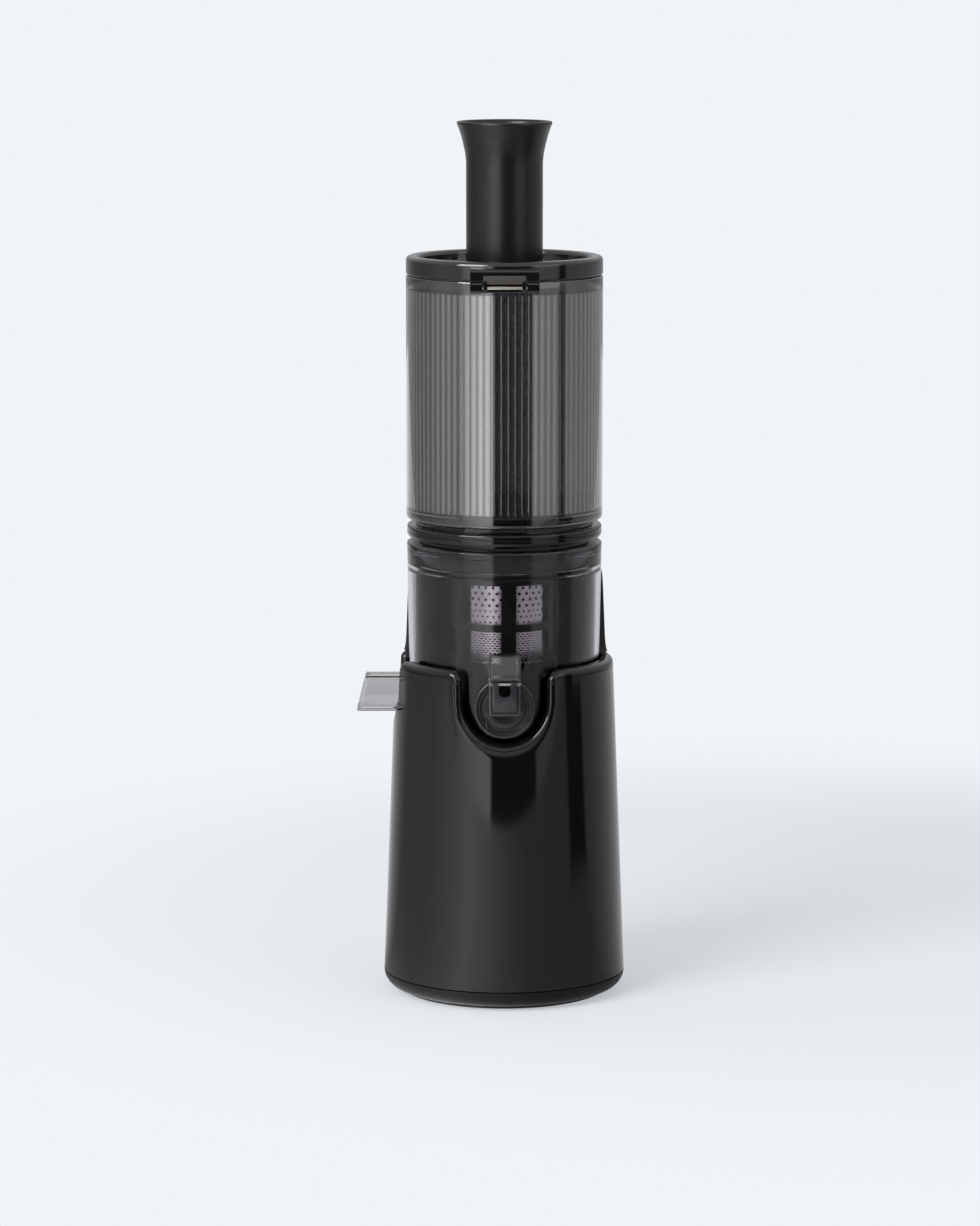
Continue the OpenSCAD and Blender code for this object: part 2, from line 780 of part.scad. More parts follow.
// Side outline of the juice spout: a box mouth with a neck that slopes up to the bowl
module juice_outline(inset, out) {
    z0 = juice_z + inset;
    z1 = juice_z + juice_h - inset;
    back_y = -bowl_r(juice_z) + bowl_wall + 1 + 2 * inset;
    neck_y = -bowl_r(juice_z) - 8;
    polygon([
        [back_y, z0], [-juice_reach - out, z0], [-juice_reach - out, z1],
        [neck_y, z1], [neck_y + 9, z1 + neck_rise], [back_y, z1 + neck_rise],
    ]);
}

module juice_prism(w, inset, out) {
    translate([-w / 2, 0, 0]) rotate([90, 0, 90]) linear_extrude(w) juice_outline(inset, out);
}

// The pulp spout: a rounded box whose mouth slants back towards its top
module pulp_prism(w, inset, out, in_x) {
    corner = spout_corner_r - inset / 2;
    y = w / 2 - corner;
    z0 = pulp_z + inset + corner;
    z1 = pulp_z + pulp_h - inset - corner;
    reach = pulp_reach + out;
    difference() {
        translate([-reach, 0, 0]) union() {
            for (p = [[-y, z0], [y, z0], [-y, z1], [y, z1]])
                translate([0, p[0], p[1]]) rotate([0, 90, 0]) cylinder(r = corner, h = reach - in_x);
            translate([0, -w / 2, z0]) cube([reach - in_x, w, z1 - z0]);
            translate([0, -y, z0 - corner]) cube([reach - in_x, 2 * y, z1 - z0 + 2 * corner]);
        }
        if (out == 0) rotate([90, 0, 0]) translate([0, 0, -far / 2]) linear_extrude(far) polygon([
            [-pulp_reach - 1, pulp_z - 0.1], [-pulp_reach, pulp_z - 0.1],
            [-pulp_reach + pulp_slant, pulp_z + pulp_h + 0.1], [-pulp_reach - 1, pulp_z + pulp_h + 0.1],
        ]);
    }
}

module bowl() {
    duct_x = strainer_r + gap;
    color(smoke) difference() {
        union() {
            difference() {
                spin([
                    [0, bowl_floor_z], [bowl_bottom_r, bowl_floor_z],
                    [bowl_r(bowl_top_z - bowl_flange_h - 5), bowl_top_z - bowl_flange_h - 5],
                    [bowl_top_r, bowl_top_z - bowl_flange_h], [bowl_top_r, bowl_top_z - 0.8],
                    [bowl_top_r - 0.8, bowl_top_z], [0, bowl_top_z],
                ]);
                spin([
                    [0, bowl_in_z], [bowl_r(bowl_in_z) - bowl_wall, bowl_in_z],
                    [bowl_r(ledge_z - 3) - bowl_wall, ledge_z - 5],
                    [bowl_r(ledge_z) - bowl_wall - 2, ledge_z - 2],
                    [bowl_r(ledge_z) - bowl_wall - 2, ledge_z], [bowl_r(ledge_z) - bowl_wall, ledge_z],
                    [bowl_r(ledge_z) - bowl_wall, far * 2], [0, far * 2],
                ]);
            }
            translate([0, 0, bowl_floor_z]) cylinder(r = boss_r, h = boss_top_z - bowl_floor_z);
            juice_prism(juice_w, 0, 0);
            pulp_prism(pulp_w, 0, 0, duct_x);
            cap_stub();
        }
        translate([0, 0, bowl_floor_z - 1]) cylinder(r = boss_r - 2, h = far / 2);
        juice_prism(juice_w - 2 * spout_wall, spout_wall, 3);
        pulp_prism(pulp_w - 2 * spout_wall, spout_wall, 3, strainer_r - 4);
        translate([-far / 2, flap_pin_y, flap_pin_z]) rotate([0, 90, 0])
            cylinder(r = flap_pin_r + 0.02, h = far);
        translate([0, sensor_y, bowl_floor_z + 0.8]) cylinder(r = magnet_r + 0.1, h = 10);
    }
}

stub_r = cap_r - 2;

// Round stub under the juice spout that the outlet cap is pushed on
module cap_stub() {
    front_y = -cap_reach + 4;
    back_y = -bowl_r(cap_z) + 1;
    difference() {
        translate([0, back_y, cap_z]) rotate([90, 0, 0]) cylinder(r = stub_r, h = back_y - front_y);
        translate([0, back_y + 1, cap_z]) rotate([90, 0, 0]) cylinder(r = stub_r - 1.8, h = far);
        spin([[0, 0], [bowl_bottom_r - 1, 0], [bowl_r(cap_z + cap_r) - 1, far * 1.2], [0, far * 1.2]]);
    }
}

module outlet_cap() {
    face_t = 2;
    color(gloss_black) difference() {
        translate([0, -cap_reach, cap_z]) rotate([-90, 0, 0]) difference() {
            cylinder(r = cap_r, h = 20);
            translate([0, 0, -1]) cylinder(r = cap_r - 1.4, h = 2);
            translate([0, 0, 1 + face_t]) cylinder(r = stub_r + 0.1, h = 30);
            translate([0, 0, -1]) ring(cap_r - 4.2, cap_r - 5.4, 2.8);
        }
        translate([0, 0, cap_z - 30])
            cylinder(r1 = bowl_r(cap_z - 30) + gap, r2 = bowl_r(cap_z + 30) + gap, h = 60);
        block(juice_w + 2 * gap, -far, 0, juice_z - gap, far * 2);
    }
}

magnet_r = 5;

module bowl_magnet() {
    color("#8f8f92") translate([0, sensor_y, bowl_floor_z + 0.8])
        cylinder(r = magnet_r, h = bowl_floor_t - 0.8);
}

module bowl_seal() {
    color(rubber_black) translate([0, 0, bowl_floor_z]) ring(boss_r - 2, drive_r + fit * 2, 5);
}

module flap_pin() {
    color(steel) translate([-juice_w / 2, flap_pin_y, flap_pin_z]) rotate([0, 90, 0])
        cylinder(r = flap_pin_r, h = juice_w);
}

// Flap that hangs from a pin in the juice spout's mouth, with a notch between its two ears
module juice_flap() {
    w = juice_w - 2 * spout_wall - 2 * gap;
    knuckle = 1.8;
    plate_t = 1.6;
    bottom_z = juice_z + spout_wall + gap;
    notch_w = 6.6;
    color(smoke) difference() {
        union() {
            translate([-w / 2, flap_pin_y, flap_pin_z]) rotate([0, 90, 0]) cylinder(r = knuckle, h = w);
            block(w, flap_pin_y - knuckle + 0.1, flap_pin_y - knuckle + 0.1 + plate_t, bottom_z, flap_pin_z);
        }
        translate([-w, flap_pin_y, flap_pin_z]) rotate([0, 90, 0]) cylinder(r = flap_pin_r + 0.06, h = 2 * w);
        block(notch_w, -far, 0, flap_pin_z - 4.5, far * 2);
    }
}

mesh_out_r = strainer_r - strainer_wall - fit;
mesh_in_r = mesh_out_r - mesh_t;

module strainer_frame() {
    z0 = bowl_in_z + gap;
    window_w = 2 * PI * strainer_r / 6 - rib_w;
    basket_top_z = bowl_top_z - 0.5;
    color(gloss_black) difference() {
        spin([
            [boss_r + 1, z0], [strainer_r, z0], [strainer_r, ledge_z + gap], [basket_r, ledge_z + gap],
            [basket_r, basket_top_z], [skirt_r + gap, basket_top_z], [skirt_r + gap, ledge_z + 2.6],
            [mesh_out_r + fit, ledge_z + 2.6], [mesh_out_r + fit, z0 + 2], [boss_r + 1, z0 + 2],
        ]);
        for (a = [-60:60:240]) rotate(a + strainer_turn)
            for (z = [[window_z, mid_ring_z], [mid_ring_z + mid_ring_h, window_top_z]])
            translate([20, -window_w / 2, z[0]]) cube([20, window_w, z[1] - z[0]]);
        translate([-strainer_r - 5, -pulp_w / 2 + spout_wall, pulp_z + spout_wall])
            cube([20, pulp_w - 2 * spout_wall, pulp_h - 2 * spout_wall]);
    }
}

// Steel sleeve of one row of windows
module mesh_sleeve(z0, z1) {
    translate([0, 0, z0 - 2]) ring(mesh_out_r, mesh_in_r, z1 - z0 + 4);
}

hole_pitch = 4.8;

module upper_mesh() {
    z0 = mid_ring_z + mid_ring_h;
    rows = floor((window_top_z - z0 - 3) / hole_pitch);
    per_row = 16;
    color(steel) difference() {
        mesh_sleeve(z0, window_top_z);
        for (row = [0:rows]) for (i = [0:per_row - 1])
            translate([0, 0, z0 + 2.4 + hole_pitch * row]) rotate((i + row % 2 / 2) * 180 / per_row)
                rotate([90, 0, 0]) cylinder(r = 0.85, h = 80, center = true, $fn = 4);
    }
}

module lower_mesh() {
    rows = floor((mid_ring_z - window_z - 3) / 2.4);
    per_row = 12;
    color(steel) difference() {
        mesh_sleeve(window_z, mid_ring_z);
        for (row = [0:rows]) for (i = [0:per_row - 1])
            translate([0, 0, window_z + 2 + 2.4 * row]) rotate((i + row % 2 / 2) * 180 / per_row)
                cube([80, 3.2, 0.7], center = true);
    }
}

auger_z = bowl_in_z + 3.4;
auger_r = mesh_in_r - auger_gap;
drive_boss_r = 8;
drive_boss_h = 9;

module auger() {
    color("#2a2a2e") difference() {
        union() {
            translate([0, 0, auger_z])
                linear_extrude(auger_top_z - auger_z, twist = -620, slices = 36) union() {
                circle(r = auger_core_r, $fn = 20);
                intersection() {
                    square([2 * auger_r, 6], center = true);
                    circle(r = auger_r, $fn = 24);
                }
            }
            translate([0, 0, auger_top_z - 1]) cylinder(r = drive_boss_r, h = drive_boss_h + 1, $fn = 6);
        }
        translate([0, 0, auger_z - 1]) cylinder(r = boss_r + 0.5, h = boss_top_z + 1 - auger_z + 1);
        translate([0, 0, auger_z]) cylinder(r = drive_r + gap, h = deck_z + hex_h + 1 - auger_z, $fn = 6);
    }
}

// ---- hopper, lock ring and cutting wing ----

hopper_in_r = hopper_r - hopper_wall;
neck_z = hopper_z - 10;
hinge_z = hopper_top_z - 3.1;

// Hopper section with a row of rounded ribs on the inside
module ribbed_section() {
    steps = rib_count * 4;
    difference() {
        circle(r = hopper_r, $fn = 180);
        polygon([for (i = [0:steps - 1])
            let (a = 360 * i / steps)
            let (r = hopper_in_r - 0.05 - rib_h * (i % 4 == 0 ? 0 : i % 4 == 2 ? 1 : 0.6))
            [r * cos(a), r * sin(a)]]);
    }
}

module hinge_cylinder(r, x0, x1) {
    translate([x0, -hinge_reach, hinge_z]) rotate([0, 90, 0]) cylinder(r = r, h = x1 - x0);
}

module hopper_ears() {
    for (side = [-1, 1]) {
        x0 = side < 0 ? -hinge_w / 2 : hinge_mid_w / 2 + gap;
        x1 = x0 + (hinge_w - hinge_mid_w) / 2 - gap;
        hinge_cylinder(knuckle_r, x0, x1);
        translate([x0, -hinge_reach, hinge_z - knuckle_r + 0.3]) cube([x1 - x0, 7, 2 * knuckle_r - 0.9]);
    }
}

module hopper() {
    low_z = hopper_z + plain_band_h;
    high_z = hopper_top_z - plain_band_h;
    color(smoke) difference() {
        union() {
            spin([
                [feed_hole_r, hopper_z], [neck_r - 3.5, hopper_z - 1],
                [neck_r - 3.5, neck_z], [neck_r, neck_z],
                [neck_r, hopper_z], [hopper_r - 2.4, hopper_z], [hopper_r - 0.7, hopper_z + 0.8],
                [hopper_r, hopper_z + 2.6], [hopper_r, low_z], [hopper_in_r - rib_h, low_z],
                [hopper_in_r - rib_h - 2, hopper_z + hopper_floor_t],
                [feed_hole_r, hopper_z + hopper_floor_t],
            ]);
            translate([0, 0, low_z - eps]) linear_extrude(high_z - low_z + 2 * eps) ribbed_section();
            translate([0, 0, high_z]) ring(hopper_r, hopper_in_r, plain_band_h);
            difference() {
                hopper_ears();
                cylinder(r = hopper_in_r + 0.5, h = far * 3);
            }
        }
        hinge_cylinder(knuckle_r + gap, -hinge_mid_w / 2 - gap, hinge_mid_w / 2 + gap);
        hinge_cylinder(hinge_pin_r + 0.02, -far, far);
    }
}

module lock_ring() {
    z0 = neck_z - 1;
    top_z = z0 + lock_ring_h;
    skirt_z = ledge_z + 6;
    color(gloss_black) spin(concat(
        [[skirt_r - 2.5, skirt_z], [skirt_r, skirt_z], [skirt_r, z0], [lock_ring_r - 2, z0]],
        arc(lock_ring_r - 2, z0 + 2, 2, -60, 0, 3),
        arc(lock_ring_r - 2, top_z - 2, 2, 0, 90, 3),
        [[neck_r + 0.05, top_z], [neck_r + 0.05, neck_z - fit], [skirt_r - 2.5, neck_z - fit]]));
}

module hopper_seal() {
    skirt_z = ledge_z + 6;
    color(rubber_black) translate([0, 0, skirt_z - 2]) ring(skirt_r - 0.2, skirt_r - 2.3, 2);
}

module hinge_pin() {
    color(steel) hinge_cylinder(hinge_pin_r, -hinge_w / 2 + 1, hinge_w / 2 - 1);
}

wing_z = hopper_z + hopper_floor_t + 1.2;

module cutting_wing() {
    hub_r = 15;
    reach = hopper_in_r - rib_h - 3;
    color("#232327") difference() {
        union() {
            translate([0, 0, auger_top_z + gap]) cylinder(r = hub_r, h = wing_z + 4 - auger_top_z - gap);
            translate([0, 0, wing_z]) cylinder(r1 = hub_r, r2 = 7, h = 10);
            // tall fin
            translate([-20, -8, wing_z]) rotate(15) cube([6, 3.5, 32]);
            translate([-20, -8, wing_z]) rotate(15) cube([12, 3.5, 10]);
            // low sweeping arm
            translate([0, 0, wing_z]) intersection() {
                difference() {
                    translate([0, 24, 0]) cylinder(r = reach - 14, h = 14);
                    translate([-4, 28, -1]) cylinder(r = reach - 14, h = 16);
                }
                cylinder(r = reach, h = 14);
                translate([0, -far / 2, 0]) cube([far, far, far]);
            }
        }
        translate([0, 0, auger_top_z - 1]) cylinder(r = drive_boss_r + gap, h = drive_boss_h + 1.6, $fn = 6);
    }
}

// ---- lid and pusher ----

gasket_t = 0.7;
lid_z = hopper_top_z + 0.2 + gasket_t;
lid_deck_z = lid_z + 1.6;
lid_top_z = lid_z + lid_h;
lid_r = hopper_r;

module lid() {
    skirt_out_r = hopper_in_r - 0.6;
    color(gloss_black) difference() {
        union() {
            spin(concat(
                [[pusher_r + pusher_gap, lid_deck_z],
                 [lid_opening_r, lid_deck_z], [lid_opening_r, lid_z], [lid_r, lid_z]],
                arc(lid_r - lid_edge_r, lid_top_z - lid_edge_r, lid_edge_r, 0, 90),
                arc(lid_opening_r + 1.5, lid_top_z - 1.5, 1.5, 90, 180, 3),
                [[lid_opening_r, lid_deck_z + lid_deck_t],
                 [pusher_r + pusher_gap + 2, lid_deck_z + lid_deck_t],
                 [pusher_r + pusher_gap, lid_deck_z + lid_deck_t - 1]]));
            lid_skirt(skirt_out_r);
            lid_lug();
        }
        hinge_cylinder(hinge_pin_r + 0.08, -far, far);
        block(hinge_mid_w - 5, -far, -hinge_reach, hinge_z - 1.5, hinge_z + 1.6);
    }
}

// Skirt that centres the lid in the hopper, left out near the hinge so that the lid can tip
module lid_skirt(outer) {
    difference() {
        translate([0, 0, lid_z - 3]) ring(outer, outer - 2, 3.5);
        block(far, -far, -38, 0, far * 3);
    }
}

module lid_lug() {
    lip_y = -hinge_reach - 3;
    difference() {
        union() {
            block(hinge_w, lip_y, -lid_opening_r - 3, lid_z, lid_z + lip_h);
            block(hinge_mid_w - 2 * gap, lip_y - 0.2, -hinge_reach + 1.4, hinge_z, lid_z + 1);
            hinge_cylinder(knuckle_r - 0.2, -hinge_mid_w / 2 + gap, hinge_mid_w / 2 - gap);
        }
        cylinder(r = lid_opening_r + 1, h = far * 3);
    }
}

module lid_gasket() {
    color(rubber_black) translate([0, 0, lid_z - gasket_t]) ring(lid_r - 1, lid_opening_r + 5.4, gasket_t);
}

pusher_z = lid_deck_z + 0.2;

module pusher() {
    top_z = pusher_z + pusher_h;
    flare_h = 25;
    d = pusher_rim_r - pusher_r;
    w = pusher_wall;
    color(matt_black) spin([
        [0, pusher_z], [pusher_r - 1, pusher_z], [pusher_r, pusher_z + 1], [pusher_r, top_z - flare_h],
        [pusher_r + 0.1 * d, top_z - 21],
        [pusher_r + 0.24 * d, top_z - 15.5], [pusher_r + 0.48 * d, top_z - 9.5],
        [pusher_r + 0.76 * d, top_z - 4.5],
        [pusher_rim_r - 0.3, top_z - 1.4], [pusher_rim_r - 0.3, top_z - 0.4],
        [pusher_rim_r - 1, top_z],
        [pusher_rim_r - w + 0.4, top_z - 0.6],
        [pusher_r + 0.7 * d - w, top_z - 6], [pusher_r + 0.3 * d - w, top_z - 14],
        [pusher_r - w, top_z - flare_h], [pusher_r - w, pusher_z + w], [0, pusher_z + w],
    ]);
}

base_shell();
bowl_seat();
back_wall();
bottom_cover();
foot_ring();
chassis();
motor_can();
stator();
motor_lower_cap();
motor_upper_cap();
motor_bushes();
motor_dampers();
gearbox_housing();
gearbox_cover();
output_bushes();
idler_axle();
deck_seal();
control_board();
capacitor();
bowl_sensor();
switch_body();
knob_bezel();
cord_gland();
cover_screws();
motor_screws();
gearbox_screws();
deck_screws();
rotor_core();
motor_shaft();
cooling_fan();
idler_gear();
output_gear();
drive_shaft();
control_knob();
bowl();
outlet_cap();
bowl_seal();
bowl_magnet();
strainer_frame();
upper_mesh();
lower_mesh();
flap_pin();
juice_flap();
auger();
hopper();
lock_ring();
hopper_seal();
hinge_pin();
cutting_wing();
lid();
lid_gasket();
pusher();
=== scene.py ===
import math

import bmesh
import bpy
import numpy as np
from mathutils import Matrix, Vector


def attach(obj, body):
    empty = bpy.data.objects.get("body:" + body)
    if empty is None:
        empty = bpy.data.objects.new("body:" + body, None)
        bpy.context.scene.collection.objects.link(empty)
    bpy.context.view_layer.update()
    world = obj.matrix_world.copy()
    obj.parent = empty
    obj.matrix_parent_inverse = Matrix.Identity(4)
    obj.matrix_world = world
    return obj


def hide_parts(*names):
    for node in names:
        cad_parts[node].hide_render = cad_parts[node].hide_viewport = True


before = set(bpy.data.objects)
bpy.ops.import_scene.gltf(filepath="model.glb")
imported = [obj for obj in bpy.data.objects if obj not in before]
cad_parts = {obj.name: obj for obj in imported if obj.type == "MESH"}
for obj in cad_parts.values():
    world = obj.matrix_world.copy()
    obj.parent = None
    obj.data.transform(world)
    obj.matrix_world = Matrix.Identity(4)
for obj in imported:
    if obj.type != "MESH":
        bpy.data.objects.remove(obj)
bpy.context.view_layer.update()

# A slim cold press juicer in its studio. Shapes are worked out in millimetres on the drive axis,
# +Z up, juice spout to -Y, pulp spout to -X, and go into their meshes in metres.

scene = bpy.context.scene
mm = 0.001
tau = 2 * math.pi

body = dict(
    bottomRadius=75.0, topRadius=67.6, seamHeight=12.5, bandHeight=205.0, rimHeight=209.5, rimRound=3.6,
    seatRadius=60.8, deckHeight=163.0, deckThickness=3.0, shellWall=3.0,
)


# radius of the base's cone: straight from the lower seam to the band under the rim
def coneRadius(z):
    part = (z - body["seamHeight"]) / (body["bandHeight"] - body["seamHeight"])
    return body["bottomRadius"] + (body["topRadius"] - body["bottomRadius"]) * part


# quads of an n by m grid of points, joined round in either direction where asked
def gridQuads(n, m, wrapN=True, wrapM=True):
    i = np.arange(n if wrapN else n - 1)[:, None]
    j = np.arange(m if wrapM else m - 1)[None, :]
    nextI, nextJ = (i + 1) % n, (j + 1) % m
    return np.stack([i * m + j, nextI * m + j, nextI * m + nextJ, i * m + nextJ], -1)


def gridPart(points, wrapN=True, wrapM=True):
    n, m = points.shape[:2]
    return points.reshape(-1, 3), gridQuads(n, m, wrapN, wrapM).reshape(-1, 4)


# closed outline from corners (a, b, radius): each corner becomes an arc that touches both sides
def rounded(corners, steps=6):
    corners = np.array([(c + (0.0,))[:3] for c in corners], float)
    found = []
    for before, here, after in zip(np.roll(corners, 1, 0), corners, np.roll(corners, -1, 0)):
        toBefore, toAfter = before[:2] - here[:2], after[:2] - here[:2]
        reach = min(np.linalg.norm(toBefore), np.linalg.norm(toAfter))
        toBefore, toAfter = toBefore / np.linalg.norm(toBefore), toAfter / np.linalg.norm(toAfter)
        half = math.acos(np.clip(toBefore @ toAfter, -1, 1)) / 2
        if here[2] <= 0 or half > 1.55:
            found.append(here[:2])
            continue
        touch = min(here[2] / math.tan(half), 0.48 * reach)
        radius = touch * math.tan(half)
        middle = (toBefore + toAfter) / np.linalg.norm(toBefore + toAfter)
        centre = here[:2] + middle * radius / math.sin(half)
        start, end = here[:2] + toBefore * touch - centre, here[:2] + toAfter * touch - centre
        sweep = math.pi - 2 * half
        part = np.linspace(0, 1, steps + 1)[:, None]
        arc = (np.sin((1 - part) * sweep) * start + np.sin(part * sweep) * end) / math.sin(sweep)
        found.extend(centre + arc)
    return np.array(found)


# surface of revolution: the outline (radius, height) turned about Z
def revolved(outline, count=144, turn=0.0):
    angle = turn + tau * np.arange(count)[:, None] / count
    r, z = outline[None, :, 0], outline[None, :, 1] + 0 * angle
    return gridPart(np.stack([r * np.cos(angle), r * np.sin(angle), z], -1))


# the same about an axis along Y: the outline is (radius, y), and the axis stands at height z
def revolvedAlongY(outline, height, count=96):
    points, quads = revolved(outline, count)
    return np.stack([points[:, 0], points[:, 2], points[:, 1] + height], -1), quads


# and about an axis along X: the outline is (radius, x), and the axis goes through (y, z)
def revolvedAlongX(outline, y, z, count=40):
    points, quads = revolved(outline, count)
    return np.stack([points[:, 2], y + points[:, 0], z + points[:, 1]], -1), quads


# tube of the given outlines (n, m, 3), closed along its length as well
def loop(sections):
    return gridPart(np.asarray(sections))


# rounded rectangle of width w between heights low and high, as m points (across, height)
def roundedRect(w, low, high, radius, steps=5):
    corners = [(-w / 2, low, radius), (w / 2, low, radius), (w / 2, high, radius), (-w / 2, high, radius)]
    return rounded(corners, steps)


# box with rounded edges: each point of a cube is drawn back to an inner box, then pushed out by the radius
def roundedBox(low, high, radius, steps=4):
    low, high = np.array(low, float), np.array(high, float)
    centre, half = (low + high) / 2, (high - low) / 2
    edge = np.tan(np.linspace(-1, 1, 2 * steps + 1) * math.pi / 4)
    u, v = np.meshgrid(edge, edge, indexing="ij")
    parts = []
    for axis in range(3):
        for sign in (-1, 1):
            side = np.empty(u.shape + (3,))
            side[..., axis], side[..., (axis + 1) % 3], side[..., (axis + 2) % 3] = sign, u, v
            outwards = side / np.linalg.norm(side, axis=-1, keepdims=True)
            inner = np.sign(side) * (half - radius) * (np.abs(side) > 1e-9)
            parts.append(gridPart(centre + inner + radius * outwards, False, False))
    return joined(parts)


def joined(parts):
    points, quads, count = [], [], 0
    for p, q in parts:
        points.append(p)
        quads.append(q + count)
        count += len(p)
    return np.concatenate(points), np.concatenate(quads)


# mesh in metres from points in millimetres. Points nearer than weld (in metres) become one
def solidMesh(name, points, faces, weld=0.0, clean=False):
    mesh = bpy.data.meshes.new(name)
    mesh.from_pydata((points * mm).tolist(), [], faces)
    work = bmesh.new()
    work.from_mesh(mesh)
    if weld:
        bmesh.ops.remove_doubles(work, verts=work.verts, dist=weld)
    if clean:
        bmesh.ops.dissolve_degenerate(work, edges=work.edges, dist=1e-6)
    bmesh.ops.recalc_face_normals(work, faces=work.faces)
    work.to_mesh(mesh)
    work.free()
    return mesh


def placeMesh(name, mesh, material, rides, replaced=(), sharp=32):
    mesh.polygons.foreach_set("use_smooth", np.ones(len(mesh.polygons), bool))
    mesh.set_sharp_from_angle(angle=math.radians(sharp))
    piece = bpy.data.objects.new(name, mesh)
    scene.collection.objects.link(piece)
    mesh.materials.append(material)
    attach(piece, rides)
    if replaced:
        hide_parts(*replaced)
    return piece


def makePiece(name, parts, material, rides, replaced=(), sharp=32):
    points, quads = joined(parts)
    mesh = solidMesh(name, points, quads.tolist(), weld=3e-6, clean=True)
    return placeMesh(name, mesh, material, rides, replaced, sharp)


# takes the cutter's solid out of the piece and writes the result into the piece's own mesh
def carve(piece, cutter, sharp=30):
    points, quads = cutter
    tool = bpy.data.objects.new("cutter", solidMesh("cutter", points, quads.tolist(), weld=1e-6))
    scene.collection.objects.link(tool)
    cut = piece.modifiers.new("cut", "BOOLEAN")
    cut.operation, cut.solver, cut.object = "DIFFERENCE", "EXACT", tool
    bpy.context.view_layer.update()
    result = bpy.data.meshes.new_from_object(piece.evaluated_get(bpy.context.evaluated_depsgraph_get()))
    piece.modifiers.remove(cut)
    piece.data = result
    result.set_sharp_from_angle(angle=math.radians(sharp))
    bpy.data.objects.remove(tool)


finishes = dict(
    glossBlack=dict(color=(0.004, 0.004, 0.0047), roughness=0.055, grain=1400, depth=0.006),
    lidBlack=dict(color=(0.005, 0.005, 0.0054), roughness=0.1, specular=0.85, grain=1400, depth=0.01),
    mattBlack=dict(color=(0.0045, 0.0045, 0.005), roughness=0.32, grain=2600, depth=0.05),
    coverBlack=dict(color=(0.006, 0.006, 0.0064), roughness=0.36, specular=0.25, grain=2200, depth=0.05),
    blackMoulding=dict(color=(0.0045, 0.0045, 0.0056), roughness=0.3, grain=1800, depth=0.03),
    capBlack=dict(color=(0.016, 0.016, 0.0165), roughness=0.2, specular=0.7, grain=1400, depth=0.02),
    plateBlack=dict(color=(0.056, 0.051, 0.048), roughness=0.3, grain=1400, depth=0.02),
    greyMoulding=dict(color=(0.09, 0.09, 0.095), roughness=0.45, grain=1800, depth=0.05),
    nylon=dict(color=(0.62, 0.6, 0.53), roughness=0.42, grain=900, depth=0.05),
    rubber=dict(color=(0.022, 0.022, 0.023), roughness=0.72, grain=3000, depth=0.09),
    boardGreen=dict(color=(0.015, 0.1, 0.04), roughness=0.38, grain=700, depth=0.04),
    bronze=dict(color=(0.5, 0.32, 0.14), roughness=0.35, metallic=1.0, grain=1500, depth=0.04),
    laminations=dict(color=(0.33, 0.31, 0.3), roughness=0.4, metallic=1.0, grain=1500, depth=0.04,
                     layers=2200),
    copper=dict(color=(0.55, 0.24, 0.12), roughness=0.36, metallic=0.9, grain=1500, depth=0.05, layers=1500),
)


smokes = dict(
    smokeClear=dict(color=(0.2, 0.195, 0.2), roughness=0.04, coat=1.0, coatIOR=2.5),
    smokeDark=dict(color=(0.57, 0.56, 0.58), roughness=0.02, ior=1.38),
    smokeSpout=dict(color=(0.7, 0.69, 0.705), roughness=0.03),
    spoutSmoke=dict(color=(0.5, 0.49, 0.5), roughness=0.04, clear=0.94),
    flapSmoke=dict(color=(0.035, 0.036, 0.04), roughness=0.16, clear=0.25),
)
steels = dict(
    steel=dict(color=(0.66, 0.65, 0.64), roughness=0.3, stretch=(300, 300, 3000)),
    meshSteel=dict(color=(0.86, 0.8, 0.81), roughness=0.24, stretch=(200, 200, 2600)),
    pinSteel=dict(color=(0.72, 0.67, 0.58), roughness=0.26, stretch=(200, 2600, 2600)),
)


# a constant goes onto the socket itself, anything else is linked to it
def feed(tree, socket, value):
    if isinstance(value, (int, float, tuple, list)):
        socket.default_value = value
    else:
        tree.links.new(value, socket)


def newNode(tree, kind, **inputs):
    node = tree.nodes.new(kind)
    for name, value in inputs.items():
        feed(tree, node.inputs[name.replace("_", " ")], value)
    return node


def mathNode(tree, operation, a, b=0.0, clamp=False):
    node = tree.nodes.new("ShaderNodeMath")
    node.operation, node.use_clamp = operation, clamp
    for socket, value in zip(node.inputs, (a, b)):
        feed(tree, socket, value)
    return node.outputs[0]


def mixColor(tree, factor, first, second, blend="MIX"):
    node = tree.nodes.new("ShaderNodeMix")
    node.data_type, node.blend_type = "RGBA", blend
    for place, value in ((0, factor), (6, first), (7, second)):
        feed(tree, node.inputs[place], value)
    return node.outputs[2]


def rangeNode(tree, value, fromRange, toRange, smooth=False):
    node = newNode(tree, "ShaderNodeMapRange", Value=value, From_Min=fromRange[0], From_Max=fromRange[1],
                   To_Min=toRange[0], To_Max=toRange[1])
    if smooth:
        node.interpolation_type = "SMOOTHSTEP"
    return node.outputs["Result"]


def noiseNode(tree, vector, scale, detail=2.0):
    return newNode(tree, "ShaderNodeTexNoise", Vector=vector, Scale=scale, Detail=detail).outputs["Fac"]


# new material, its tree, its shader and the object coordinates
def startMaterial(name):
    material = bpy.data.materials.new(name)
    material.use_nodes = True
    tree = material.node_tree
    where = newNode(tree, "ShaderNodeTexCoord").outputs["Object"]
    return material, tree, tree.nodes["Principled BSDF"], where


# colour between its darker and lighter share by the factor
def tintShader(tree, shader, factor, color, shares, positions=(0.0, 1.0)):
    ramp = newNode(tree, "ShaderNodeValToRGB", Fac=factor)
    for stop, share, position in zip(ramp.color_ramp.elements, shares, positions):
        stop.position, stop.color = position, [min(1, share * c) for c in color] + [1]
    tree.links.new(ramp.outputs["Color"], shader.inputs["Base Color"])


def bumpShader(tree, shader, height, strength, distance):
    relief = newNode(tree, "ShaderNodeBump", Strength=strength, Distance=distance, Height=height)
    tree.links.new(relief.outputs["Normal"], shader.inputs["Normal"])


